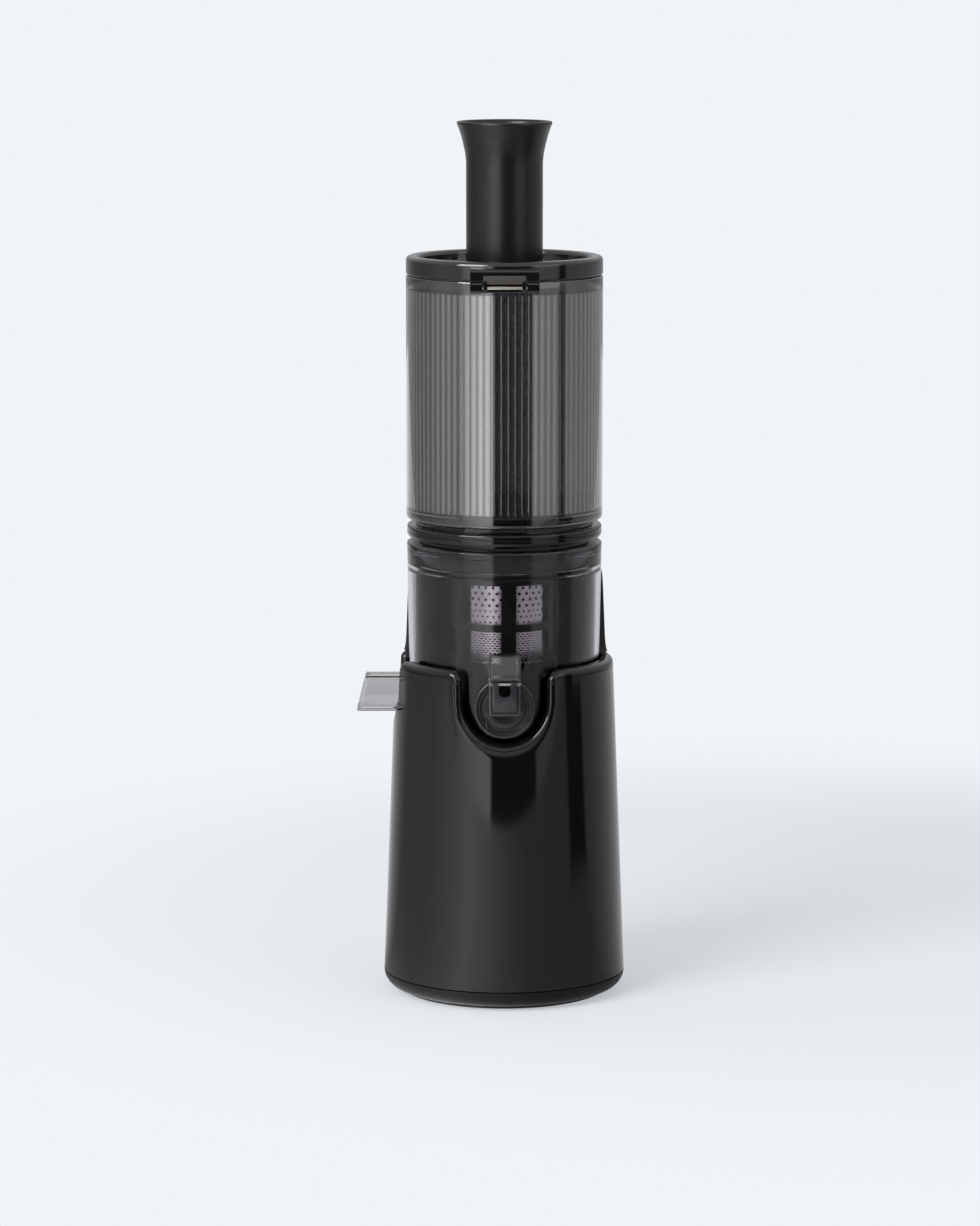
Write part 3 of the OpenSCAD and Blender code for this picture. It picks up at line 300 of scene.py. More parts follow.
# opaque finish: colour and roughness drift with a slow noise, and a fine noise stands out as grain.
# A finish in layers has sheets along Z in place of the grain
def surfaceMaterial(name, color, roughness, grain, depth, metallic=0.0, specular=0.5, layers=0):
    material, tree, shader, where = startMaterial(name)
    shader.inputs["Metallic"].default_value = metallic
    shader.inputs["Specular IOR Level"].default_value = specular
    slow = noiseNode(tree, where, 22, 4)
    tintShader(tree, shader, slow, color, (0.88, 1.12), (0.3, 0.7))
    shine = rangeNode(tree, slow, (0.25, 0.75), (roughness * 0.88, roughness * 1.12))
    tree.links.new(shine, shader.inputs["Roughness"])
    if layers:
        sheets = newNode(tree, "ShaderNodeTexWave", Scale=layers / 20, Vector=where)
        sheets.bands_direction = "Z"
        height = sheets.outputs["Fac"]
    else:
        height = noiseNode(tree, where, grain, 3)
    bumpShader(tree, shader, height, 0.35, depth * mm)
    return material


# clear tinted plastic: light passes with the wall's tint, and a slow noise leaves a trace of unevenness
def smokeMaterial(name, color, roughness, clear=1.0, ior=1.49, coat=0.0, coatIOR=1.5):
    material, tree, shader, where = startMaterial(name)
    shader.inputs["Base Color"].default_value = (*color, 1)
    shader.inputs["Transmission Weight"].default_value = clear
    shader.inputs["IOR"].default_value = ior
    shader.inputs["Coat Weight"].default_value = coat
    shader.inputs["Coat IOR"].default_value = coatIOR
    shine = rangeNode(tree, noiseNode(tree, where, 60), (0, 1), (0.5 * roughness, 1.5 * roughness))
    tree.links.new(shine, shader.inputs["Roughness"])
    return material


# drawn or brushed steel: a noise stretched along one axis marks colour, roughness and height
def steelMaterial(name, color, roughness, stretch):
    material, tree, shader, where = startMaterial(name)
    shader.inputs["Metallic"].default_value = 1
    place = newNode(tree, "ShaderNodeMapping", Vector=where, Scale=stretch)
    lines = noiseNode(tree, place.outputs["Vector"], 1, 4)
    tintShader(tree, shader, lines, color, (0.86, 1.1))
    shine = rangeNode(tree, lines, (0, 1), (0.7 * roughness, 1.3 * roughness))
    tree.links.new(shine, shader.inputs["Roughness"])
    bumpShader(tree, shader, lines, 0.3, 0.02 * mm)
    return material


look = {}
for make, kinds in ((surfaceMaterial, finishes), (smokeMaterial, smokes), (steelMaterial, steels)):
    look.update({name: make(name, **values) for name, values in kinds.items()})
print("finishes", len(look))


scoops = dict(
    front=dict(azimuth=-90.0, radius=26.0, bottom=165.5, cornerBefore=8.0, cornerAfter=8.0, roundWidth=10.0),
    left=dict(azimuth=-180.0, radius=16.5, bottom=172.5, cornerBefore=5.0, cornerAfter=8.0, roundWidth=5.0),
    seamDepth=4.3, seamGap=0.4, roundDepth=6.2, innerEase=191.5, outerEase=204.5,
)


# edge of one scoop in its own plane, a across and z up: rim, corner arc, side, half circle, side, corner arc.
# Rows are (azimuth of the plane, a, z, normal a, normal z, share of the scoop's own rounding, rounding width)
def scoopEdge(azimuth, radius, bottom, cornerBefore, cornerAfter, roundWidth):
    rim = body["rimHeight"]
    middle = bottom + radius
    rows = []

    def add(a, z, na, nz, share):
        values = [np.atleast_1d(np.asarray(v, float)) for v in (a, z, na, nz, share)]
        a, z, na, nz, share = np.broadcast_arrays(*values)
        rows.append(np.stack([0 * a + azimuth, a, z, na, nz, share, 0 * a + roundWidth], -1))

    for side, corner in ((-1, cornerBefore), (1, cornerAfter)):
        t = np.linspace(0, 1, 15)[1:-1]
        share = 0.35 * t * t
        turn = np.radians(90 - 90 * t)
        arcA = side * (radius + corner) - side * corner * np.cos(turn)
        arcZ = rim - corner + corner * np.sin(turn)
        corners = (arcA, arcZ, side * np.cos(turn), -np.sin(turn), share)
        straightZ = rim - corner + (middle - rim + corner) * np.linspace(0, 1, 9)
        if side < 0:
            add(*corners)
            add(-radius, straightZ, -1, 0, 0.35)
            around = np.linspace(math.pi, tau, 49)[1:-1]
            grown = np.clip(np.minimum(around - math.pi, tau - around) / math.radians(75), 0, 1)
            roundShare = 0.35 + 0.65 * grown * grown * (3 - 2 * grown)
            add(radius * np.cos(around), middle + radius * np.sin(around), np.cos(around), np.sin(around),
                roundShare)
        else:
            add(radius, straightZ[::-1], 1, 0, 0.35)
            add(*[v[::-1] for v in corners])
    return np.concatenate(rows)


# plain rim between two azimuths: every point has its own plane
def rimEdge(start, end):
    azimuth = np.arange(start, end, 2.0) + (end - start) % 2.0 / 2
    zero = 0 * azimuth
    columns = [azimuth, zero, zero + body["rimHeight"], zero, zero - 1, zero, zero + body["rimRound"]]
    return np.stack(columns, -1)


def edgeReach(scoop, side, corner):
    return side * math.degrees(math.asin((scoop["radius"] + corner) / coneRadius(body["rimHeight"])))


front, left = scoops["front"], scoops["left"]
leftEnd = left["azimuth"] + edgeReach(left, 1, left["cornerAfter"])
frontStart = front["azimuth"] + edgeReach(front, -1, front["cornerBefore"])
frontEnd = front["azimuth"] + edgeReach(front, 1, front["cornerAfter"])
leftStart = left["azimuth"] + edgeReach(left, -1, left["cornerBefore"])
edge = np.concatenate([
    scoopEdge(**left), rimEdge(leftEnd + 0.5, frontStart - 0.5),
    scoopEdge(**front), rimEdge(frontEnd + 0.5, leftStart + 360 - 0.5),
])
plane, edgeA, edgeZ, normalA, normalZ, share, scoopWidth = edge.T
roundWidth = body["rimRound"] + (scoopWidth - body["rimRound"]) * share
roundDepth = body["rimRound"] + (scoops["roundDepth"] - body["rimRound"]) * share


# depth below the cone at distance d from the edge: a quarter ellipse, steep at the edge and flush at its
# width
def edgeDepth(d):
    part = 1 - np.minimum(d, roundWidth) / roundWidth
    return roundDepth * (1 - np.sqrt(1 - part * part))


# points at distance d from the edge and depth e below the cone
def edgePoints(d, e):
    z = edgeZ + normalZ * d
    r = coneRadius(z) - e
    angle = np.radians(plane) + np.arcsin(np.clip((edgeA + normalA * d) / r, -1, 1))
    return np.stack([r * np.cos(angle), r * np.sin(angle), z], -1)


def ringAt(r, z, angle):
    r, z, angle = np.broadcast_arrays(r, z, angle)
    return np.stack([r * np.cos(angle), r * np.sin(angle), z], -1)


innerAngle = np.radians(plane) + np.arcsin(edgeA / body["seatRadius"])
seamDepth, seamGap = scoops["seamDepth"], scoops["seamGap"]


# band and seat: inner edge, flat rim, rounding to the seam, then back along the cup's outside and the deck
def seatRows():
    rows = [ringAt(body["seatRadius"], edgeZ, innerAngle)]
    spacing = np.linspace(0, 1, 15) ** 2
    rows += [edgePoints(d, edgeDepth(d)) for d in spacing * seamDepth]
    outerWall = body["seatRadius"] + 2.4
    seamZ = edgeZ + normalZ * seamDepth
    seamR = coneRadius(seamZ) - edgeDepth(seamDepth)
    seamAngle = np.radians(plane) + np.arcsin((edgeA + normalA * seamDepth) / seamR)
    rows.append(ringAt(np.maximum(seamR - 1.8, outerWall), seamZ, seamAngle))
    under = body["deckHeight"] - body["deckThickness"]
    low = np.minimum(seamZ, under + 0.8)
    rows.append(ringAt(outerWall, seamZ, seamAngle))
    rows += [ringAt(outerWall, seamZ + (low - seamZ) * t, seamAngle) for t in (0.33, 0.66, 1)]
    rows += [ringAt(r, under, innerAngle) for r in (outerWall - 1, 40, 9.6)]
    rows += [ringAt(r, body["deckHeight"], innerAngle) for r in (9.6, 40, body["seatRadius"] - 1.2)]
    deckZ = body["deckHeight"]
    rows += [ringAt(body["seatRadius"] - 0.35, deckZ + 0.35, innerAngle),
             ringAt(body["seatRadius"], deckZ + 1.2, innerAngle)]
    rows += [ringAt(body["seatRadius"], deckZ + 1.2 + (edgeZ - deckZ - 1.2) * t, innerAngle)
             for t in (0.3, 0.6, 0.85, 0.97)]
    return np.stack(rows, 1)


# azimuths at the lower seam, and which columns come from a half circle. Columns of a half circle are
# spread evenly below it, and those between two half circles evenly over the rest, both by their length
# along the edge
def footAngles(lastAngle):
    found, inner = lastAngle.copy(), np.zeros(len(lastAngle), bool)
    points = ringAt(coneRadius(edgeZ), edgeZ, np.radians(plane) + np.arcsin(edgeA / coneRadius(edgeZ)))
    count = len(lastAngle)
    halves = [np.flatnonzero((plane == scoop["azimuth"]) & (edgeZ < scoop["bottom"] + scoop["radius"] + 1e-6))
              for scoop in (left, front)]
    for half in halves:
        inner[half] = True
    between = [np.arange(halves[0][-1], halves[1][0] + 1), np.arange(halves[1][-1], count + halves[0][0] + 1)]
    for stretch in halves + between:
        here = stretch % count
        along = np.append(0, np.cumsum(np.linalg.norm(np.diff(points[here], axis=0), axis=1)))
        start = lastAngle[here[0]]
        end = lastAngle[here[-1]] + (tau if stretch[-1] >= count else 0)
        spread = start + (end - start) * along / along[-1]
        found[here[1:-1]] = (spread - np.where(stretch >= count, tau, 0))[1:-1]
    return found, inner


# shell: from the seam over the rest of the rounding, down the cone to the lower seam, and back inside.
# Below a half circle the azimuth eases to the foot's by a smooth step of the height, elsewhere by a cubic
# that starts fast
def shellRows():
    start, wall = seamDepth + seamGap, body["shellWall"]
    end = np.maximum(roundWidth + 0.8, start + 0.8)
    rows = [edgePoints(start, edgeDepth(start) + 2.2), edgePoints(start, edgeDepth(start))]
    distances = [start + (end - start) * t for t in np.linspace(0, 1, 11)[1:]]
    rows += [edgePoints(d, edgeDepth(d)) for d in distances]
    last = rows[-1]
    lastAngle = np.unwrap(np.arctan2(last[:, 1], last[:, 0]))
    foot, inner = footAngles(lastAngle)
    lastZ, seamZ = last[:, 2], body["seamHeight"]

    def eased(z):
        slow, fast = [np.clip((top - z) / (top - seamZ), 0, 1)
                      for top in (scoops["innerEase"], scoops["outerEase"])]
        return np.where(inner, slow * slow * (3 - 2 * slow), 1 - (1 - fast) ** 3)

    def columnRing(t, inset):
        z = lastZ + (seamZ - lastZ) * t
        share = (eased(z) - eased(lastZ)) / (1 - eased(lastZ))
        return ringAt(coneRadius(z) - inset, z, lastAngle + (foot - lastAngle) * share)

    rows += [columnRing(t, 0) for t in np.linspace(0, 1, 33)[1:-1]]
    rows += [ringAt(coneRadius(seamZ), seamZ + 0.3, foot), ringAt(coneRadius(seamZ) - 0.3, seamZ, foot)]
    rows.append(ringAt(coneRadius(seamZ) - wall, seamZ, foot))
    rows += [columnRing(t, wall) for t in (0.5, 0.2)]
    rows.append(ringAt(coneRadius(lastZ) - wall, lastZ, lastAngle))
    return np.stack(rows, 1)


makePiece("seatBand", [loop(seatRows())], look["glossBlack"], "base", ["bowl_seat"], 40)
makePiece("baseShell", [loop(shellRows())], look["glossBlack"], "base", ["base_shell"], 40)

wall = dict(right=13.0, left=162.0, top=268.0, corner=14.0, edgeRound=1.6, foot=209.4, arcRadius=63.0,
            heights=[209.4, 210.5, 212, 215, 218.5, 230, 245, 264, 268],
            radii=[66.6, 66.25, 65.9, 65.4, 65.1, 64.55, 63.9, 62.95, 62.6])


# wall behind the bowl, on a grid of azimuth and height. Its top falls in a quarter circle at each end,
# and its thickness closes to nothing along the border as a quarter circle of the border's distance
def backWallPart():
    along = np.linspace(0, 1, 121)
    spread = along - 0.35 * np.sin(tau * along) / tau
    azimuth = np.radians(wall["right"] + (wall["left"] - wall["right"]) * spread)
    fromEnd = np.minimum(azimuth - azimuth[0], azimuth[-1] - azimuth) * wall["arcRadius"]
    drop = np.clip(wall["corner"] - fromEnd, 0, None)
    straight = wall["top"] - wall["corner"]
    top = straight + np.sqrt(np.clip(wall["corner"] ** 2 - drop ** 2, 0, None))
    up = 1 - (1 - np.linspace(0, 1, 33)) ** 1.6
    z = wall["foot"] + (top[:, None] - wall["foot"]) * up[None, :]
    thick = np.interp(z, wall["heights"], wall["radii"]) - body["seatRadius"]
    # straight-line distance to the border, rounded at the corners
    border = np.minimum(top[:, None] - z, fromEnd[:, None] + 0 * z)
    fromCentre = np.hypot(drop[:, None], np.clip(z - straight, 0, None))
    border = np.where(drop[:, None] > 0, np.minimum(border, wall["corner"] - fromCentre), border)
    part = 1 - np.clip(border, 0, wall["edgeRound"]) / wall["edgeRound"]
    outerR = body["seatRadius"] + thick * np.sqrt(np.clip(1 - part * part, 0, 1))
    outer = ringAt(outerR, z, azimuth[:, None])
    inner = ringAt(body["seatRadius"] + 0 * z, z, azimuth[:, None])
    return gridPart(np.concatenate([outer, inner[:, ::-1]], 1), False, True)


makePiece("backWall", [backWallPart()], look["glossBlack"], "base", ["back_wall"], 40)

cover = dict(low=2.0, edgeRadius=10.1, wall=2.6, floor=2.6, slots=12, slotIn=18.0, slotOut=42.0, slotHalf=1.6)


# bottom cover: in each twelfth of the turn the grid lines keep the slot's straight sides
def bottomCoverPart():
    low, edgeR, thick = cover["low"], cover["edgeRadius"], cover["wall"]
    outer = body["bottomRadius"]
    turn = np.radians(np.linspace(-90, 0, 17))
    outside = [(r, low) for r in (0.0, 6.0, 12.0, cover["slotIn"], 26.0, 34.0, cover["slotOut"], 48.0)]
    groove = [(55.9, low), (55.9, low + 1), (64.1, low + 1), (64.1, low)]
    rim = np.stack([outer - edgeR + edgeR * np.cos(turn), low + edgeR + edgeR * np.sin(turn)], -1)
    innerTurn = turn[::-1]
    inRim = np.stack([outer - edgeR + (edgeR - thick) * np.cos(innerTurn),
                      low + edgeR + (edgeR - thick) * np.sin(innerTurn)], -1)
    top = low + cover["floor"]
    inside = [(r, top) for r in (48.0, cover["slotOut"], 34.0, 26.0, cover["slotIn"], 12.0, 6.0, 0.0)]
    outline = np.concatenate([outside, groove, rim, inRim, inside])
    r, z = outline.T
    half = math.pi / cover["slots"]
    slot = np.arcsin(np.clip(cover["slotHalf"] / np.maximum(r, cover["slotIn"] - 6), 0, 0.9))
    between = [slot + (2 * half - 2 * slot) * share for share in (0, 0.2, 0.4, 0.6, 0.8)]
    offsets = np.stack([-slot, *between], 0)
    angles = (2 * half * np.arange(cover["slots"])[:, None, None] + offsets[None]).reshape(-1, len(r))
    points = ringAt(r[None, :], z[None, :], angles)
    n, m = points.shape[:2]
    quads = gridQuads(n, m, True, False)
    column = np.arange(n) % len(offsets) == 0
    lowRow = range(3, 6)
    highRow = [m - 2 - i for i in lowRow]
    keep = np.ones(quads.shape[:2], bool)
    for row in (*lowRow, *highRow):
        keep[column, row] = False
    sides = []
    first = np.flatnonzero(column)
    for row in lowRow:  # the slot's two long sides
        for shift in (0, 1):
            a = (first + shift) * m
            sides.append(np.stack([a + row, a + row + 1, a + m - 2 - row, a + m - 1 - row], -1))
    for row in (3, 6):  # and its two ends
        a, b = first * m, (first + 1) * m
        sides.append(np.stack([a + row, b + row, b + m - 1 - row, a + m - 1 - row], -1))
    return points.reshape(-1, 3), np.concatenate([quads[keep], *sides])


makePiece("bottomCover", [bottomCoverPart()], look["coverBlack"], "base", ["bottom_cover"], 40)

foot = dict(outer=64.0, inner=56.0, height=3.0, edgeRound=0.8)
footOutline = rounded([
    (foot["inner"], 0, foot["edgeRound"]), (foot["inner"] + 2.6, 0, 0.4), (foot["inner"] + 3.2, 0.8, 0.3),
    (foot["outer"] - 3.2, 0.8, 0.3), (foot["outer"] - 2.6, 0, 0.4), (foot["outer"], 0, foot["edgeRound"]),
    (foot["outer"], foot["height"], 0.2), (foot["inner"], foot["height"], 0.2)])
makePiece("footRing", [revolved(footOutline)], look["rubber"], "base", ["foot_ring"])
print("base done")


# shell of revolution with rectangular windows through its wall. Outside and inside share their heights,
# so a window's faces are left out of both and its four sides join them
def windowedShell(outsideR, insideR, heights, azimuths, windows, lowEnd, highEnd):
    outer = ringAt(outsideR[None, :], heights[None, :], azimuths[:, None])
    inner = ringAt(insideR[None, ::-1], heights[None, ::-1], azimuths[:, None])
    capHigh = [ringAt(r, z, azimuths)[:, None] for r, z in highEnd]
    capLow = [ringAt(r, z, azimuths)[:, None] for r, z in lowEnd]
    points = np.concatenate([outer, *capHigh, inner, *capLow], 1)
    n, m = points.shape[:2]
    k = len(heights)
    shift = k + len(highEnd)
    quads = gridQuads(n, m)
    keep = np.ones(quads.shape[:2], bool)
    sides = []
    for (a0, a1), (z0, z1) in windows:
        inWindow = np.flatnonzero((azimuths[:-1] > a0 - 1e-6) & (azimuths[1:] < a1 + 1e-6))
        rows = np.flatnonzero((heights[:-1] > z0 - 1e-4) & (heights[1:] < z1 + 1e-4))
        mirrored = shift + k - 2 - rows
        keep[np.ix_(inWindow, rows)] = False
        keep[np.ix_(inWindow, mirrored)] = False
        for col in (inWindow[0], inWindow[-1] + 1):
            sides.append(np.stack([col * m + rows, col * m + rows + 1,
                                   col * m + shift + k - 2 - rows, col * m + shift + k - 1 - rows], -1))
        for row in (rows[0], rows[-1] + 1):
            other = shift + k - 1 - row
            sides.append(np.stack([inWindow * m + row, (inWindow + 1) * m + row,
                                   (inWindow + 1) * m + other, inWindow * m + other], -1))
    return points.reshape(-1, 3), np.concatenate([quads[keep], *sides])


# values from each start up to its end, evenly spread and at most a step apart
def evenSteps(starts, ends, step):
    return np.concatenate([np.linspace(a, b, max(1, math.ceil((b - a) / step)), endpoint=False)
                           for a, b in zip(starts, ends)])


# azimuths round the full turn, with a column on each of the given window sides
def splitTurn(knots, step):
    knots = np.sort(np.asarray(knots, float))
    return np.radians(evenSteps(knots, np.append(knots[1:], knots[0] + 360), step))


def splitHeights(knots, step):
    return np.append(evenSteps(knots[:-1], knots[1:], step), knots[-1])


bowl = dict(wall=2.8, floorLow=163.3, floorHigh=166.3, top=281.5, ledge=268.0, bossRadius=11.6,
            bossTop=176.0, boreRadius=9.6, lowRadius=58.2, topRadius=60.2, sideLow=168.2, sideInner=264.0,
            stepTop=266.0, sideTop=276.2, stepRadius=55.2)
juice = dict(width=19.5, low=184.5, height=23.5, reach=78.0, wall=1.8, neckRise=12.5, corner=1.6,
             wallRadius=58.6)
pulp = dict(width=22.0, low=176.0, height=22.0, reach=91.5, slant=5.5, wall=1.8, corner=3.0, inner=32.9,
            wallRadius=58.4)


# radius of the bowl's outer wall: straight from its floor to its flange
def bowlRadius(z):
    part = bowl["topRadius"] - bowl["lowRadius"]
    return bowl["lowRadius"] + part * (z - bowl["floorLow"]) / (bowl["top"] - bowl["floorLow"])


def bowlParts():
    pulpHalf, juiceHalf = [math.degrees(math.asin((s["width"] / 2 - s["wall"]) / s["wallRadius"]))
                           for s in (pulp, juice)]
    sides = [-180 - pulpHalf, -180 + pulpHalf, -90 - juiceHalf, -90 + juiceHalf]
    azimuths = splitTurn(sides, 2.0)
    juiceZ = (juice["low"] + juice["wall"],
              juice["low"] + juice["height"] + juice["neckRise"] - juice["wall"] - 2)
    pulpZ = (pulp["low"] + pulp["wall"], pulp["low"] + pulp["height"] - pulp["wall"])
    low, inner = bowl["sideLow"], bowl["sideInner"]
    heights = splitHeights([low, pulpZ[0], juiceZ[0], pulpZ[1], juiceZ[1], inner, bowl["stepTop"],
                            bowl["sideTop"]], 6.0)
    straight = bowlRadius(np.minimum(heights, inner)) - bowl["wall"]
    insideR = np.where(heights <= inner + 0.01, straight, bowl["stepRadius"])
    # low end, from the inner wall round the inside fillet to the boss, and back under the floor
    innerR, outR = bowlRadius(low) - bowl["wall"], bowlRadius(low)
    boss, bossZ, bore = bowl["bossRadius"], bowl["bossTop"], bowl["boreRadius"]
    floorZ, under = bowl["floorHigh"], bowl["floorLow"]
    turn = np.radians(np.linspace(0, 90, 8))[1:]
    lowEnd = [(innerR - 1.9 + 1.9 * math.cos(t), low - 1.9 * math.sin(t)) for t in turn]
    lowEnd += [(34.0, floorZ), (boss + 1.2, floorZ), (boss + 0.35, floorZ + 0.35), (boss, floorZ + 1.2),
               (boss, bossZ - 0.6), (boss - 0.6, bossZ), (bore + 0.3, bossZ), (bore, bossZ - 0.3),
               (bore, under), (34.0, under)]
    lowEnd += [(outR - 4 + 4 * math.sin(t), under + 4.9 - 4.9 * math.cos(t))
               for t in np.radians(np.linspace(0, 78, 7))]
    # high end: the fine groove under the flange, its rounded lip, the recess for the strainer and the ledge
    highEnd = [(60.1, 276.9), (59.65, 277.15), (59.65, 277.75), (60.2, 278.0), (60.2, 280.5), (60.05, 281.0),
               (59.7, 281.35), (59.2, bowl["top"]), (57.6, bowl["top"]), (57.25, 281.2), (57.1, 280.6),
               (57.1, 268.3), (56.9, bowl["ledge"]), (bowl["stepRadius"], bowl["ledge"])]
    angles = np.radians(sides)
    windows = [(angles[:2], pulpZ), (angles[2:], juiceZ)]
    return windowedShell(bowlRadius(heights), insideR, heights, azimuths, windows, lowEnd, highEnd)


# juice spout: rounded rectangles carried along Y, outside forwards and inside back. The top slopes up at
# the neck
def juiceSpoutPart():
    reach = juice["reach"]
    ys = np.array([-reach, -reach + 0.25, -reach + 0.7, -76.4, -72, -68.2, -67.2, -66.4, -64, -61.5, -59,
                   -57.6, -56.6])
    neck = np.clip((ys + 67.0) / 9.0, 0, 1)
    ease = np.where(neck < 0.12, neck * neck / 0.24, neck - 0.06)
    top = juice["low"] + juice["height"] + juice["neckRise"] * ease
    shrink = np.array([0.5, 0.15] + [0] * (len(ys) - 2))
    outer, inner = [], []
    for y, high, less in zip(ys, top, shrink):
        ring = roundedRect(juice["width"] - 2 * less, juice["low"] + less, high - less, juice["corner"])
        outer.append(np.stack([ring[:, 0], 0 * ring[:, 0] + y, ring[:, 1]], -1))
        w = juice["wall"]
        ring = roundedRect(juice["width"] - 2 * w, juice["low"] + w, high - w, 0.7)
        inner.append(np.stack([ring[:, 0], 0 * ring[:, 0] + y, ring[:, 1]], -1))
    return loop(outer + inner[::-1])


# pulp spout: rounded squares carried along X from the strainer to a slanted mouth
def pulpSpoutPart():
    low, high = pulp["low"], pulp["low"] + pulp["height"]

    def section(t, inset, less):
        ring = roundedRect(pulp["width"] - 2 * inset, low + inset, high - inset, pulp["corner"] - inset / 2)
        mouth = -pulp["reach"] + less + pulp["slant"] * (ring[:, 1] - low) / pulp["height"]
        return np.stack([-pulp["inner"] + (mouth + pulp["inner"]) * t, ring[:, 0], ring[:, 1]], -1)

    steps = np.linspace(0, 1, 15)
    outer = [section(t, 0, 0.5) for t in steps] + [section(1, 0.15, 0.15), section(1, 0.5, 0)]
    inner = [section(1, pulp["wall"] - 0.3, 0)] + [section(t, pulp["wall"], 0.3) for t in steps[::-1]]
    return loop(outer + inner)


makePiece("bowl", [bowlParts()], look["smokeDark"], "bowl_unit", ["bowl"], 40)
makePiece("juiceSpout", [juiceSpoutPart()], look["spoutSmoke"], "bowl_unit")
makePiece("pulpSpout", [pulpSpoutPart()], look["smokeSpout"], "bowl_unit")

cap = dict(radius=18.5, height=187.5, face=-68.0, cut=10.05, cutLow=184.2)


# outlet cap, turned about Y. Its back edge follows the bowl: y = -sqrt(radius^2 - x^2)
def outletCapPart(count=112):
    r0, y0 = cap["radius"], cap["face"]
    face = rounded([
        (0, y0 + 1.6), (7.2, y0 + 1.6, 0.4), (7.8, y0 + 1.0, 0.4), (12.2, y0 + 1.0, 0.4),
        (12.9, y0 + 2.4, 0.5), (14.3, y0 + 2.4, 0.4), (14.9, y0 + 1.2, 0.4), (16.2, y0 + 1.2, 0.3),
        (16.9, y0, 0.4), (r0, y0, 0.9), (r0, y0 + 4, 0)], 4)
    angle = tau * np.arange(count) / count
    back = -np.sqrt((bowlRadius(cap["height"]) + 0.35) ** 2 - (r0 * np.cos(angle)) ** 2)

    def ring(r, y):
        return np.stack([r * np.cos(angle), 0 * angle + y, cap["height"] + r * np.sin(angle)], -1)

    rows = [ring(r, y) for r, y in face]
    rows += [ring(r0, back - 0.3), ring(r0 - 0.3, back), ring(r0 - 1.8, back)]
    rows += [ring(r0 - 1.8, y0 + 4.2), ring(0, y0 + 4.2)]
    return gridPart(np.stack(rows, 1))


outletCap = makePiece("outletCap", [outletCapPart()], look["capBlack"], "bowl_unit", ["outlet_cap"],
                      30)
carve(outletCap, roundedBox((-cap["cut"], -90, cap["cutLow"]), (cap["cut"], -40, 240), 1.2))
capRib = dict(low=(-11.6, -67.6, 174.6), high=(-10.2, -65.4, 181.0), edgeRound=0.5)
makePiece("capRib", [roundedBox(capRib["low"], capRib["high"], capRib["edgeRound"])], look["capBlack"],
          "bowl_unit")

flap = dict(width=15.3, pinY=-75.4, pinZ=203.8, knuckle=1.8, plate=1.6, low=186.6, notch=7.4, notchDepth=7.6)


# flap: its outline with the notch at the top, carried through the plate's thickness, and two ears round
# the pin. The plate's two ends are single faces
def flapParts():
    half, notch, axis, y0 = flap["width"] / 2, flap["notch"] / 2, 0.96, flap["pinY"] - flap["knuckle"] + 0.1
    top, low, dip, y1 = flap["pinZ"], flap["low"], flap["pinZ"] - flap["notchDepth"], y0 + flap["plate"]
    outline = rounded([(-half, low, 1.2), (half, low, 1.2), (half, top), (notch, top), (notch, dip, 3.0),
                       (-notch, dip, 3.0), (-notch, top), (-half, top)], 8)
    centre = np.array([0, (low + top) / 2])
    rings = []
    for inset, y in ((0.35, y0), (0.1, y0 + 0.1), (0, y0 + 0.35), (0, y1 - 0.3), (0.3, y1)):
        ring = centre + (outline - centre) * (1 - inset / np.array([half, (top - low) / 2]))
        rings.append(np.stack([ring[:, 0], 0 * ring[:, 0] + y, ring[:, 1]], -1))
    n, m = len(rings), len(outline)
    parts = [np.concatenate(rings)]
    faces = gridQuads(n, m, False, True).reshape(-1, 4).tolist()
    faces += [list(range(m))[::-1], list(range((n - 1) * m, n * m))]
    for side in (-1, 1):
        a0, a1 = sorted((side * notch, side * half))
        ear = rounded([(axis, a0, 0.1), (flap["knuckle"], a0, 0.3), (flap["knuckle"], a1, 0.3),
                       (axis, a1, 0.1)], 3)
        points, quads = revolvedAlongX(ear, flap["pinY"], flap["pinZ"])
        faces += (quads + sum(len(part) for part in parts)).tolist()
        parts.append(points)
    return np.concatenate(parts), faces


placeMesh("juiceFlap", solidMesh("juiceFlap", *flapParts()), look["flapSmoke"], "flap", ["juice_flap"])
print("bowl done")


strainer = dict(radius=32.5, wall=2.7, low=166.6, sideLow=171.0, sideHigh=264.0, ledge=268.3, top=281.0,
                basket=56.8, skirt=52.3, ribHalf=4.5, turn=4.6, wayHalf=9.2, way=(177.8, 196.2),
                rows=((209.5, 229.0), (233.5, 257.5)))


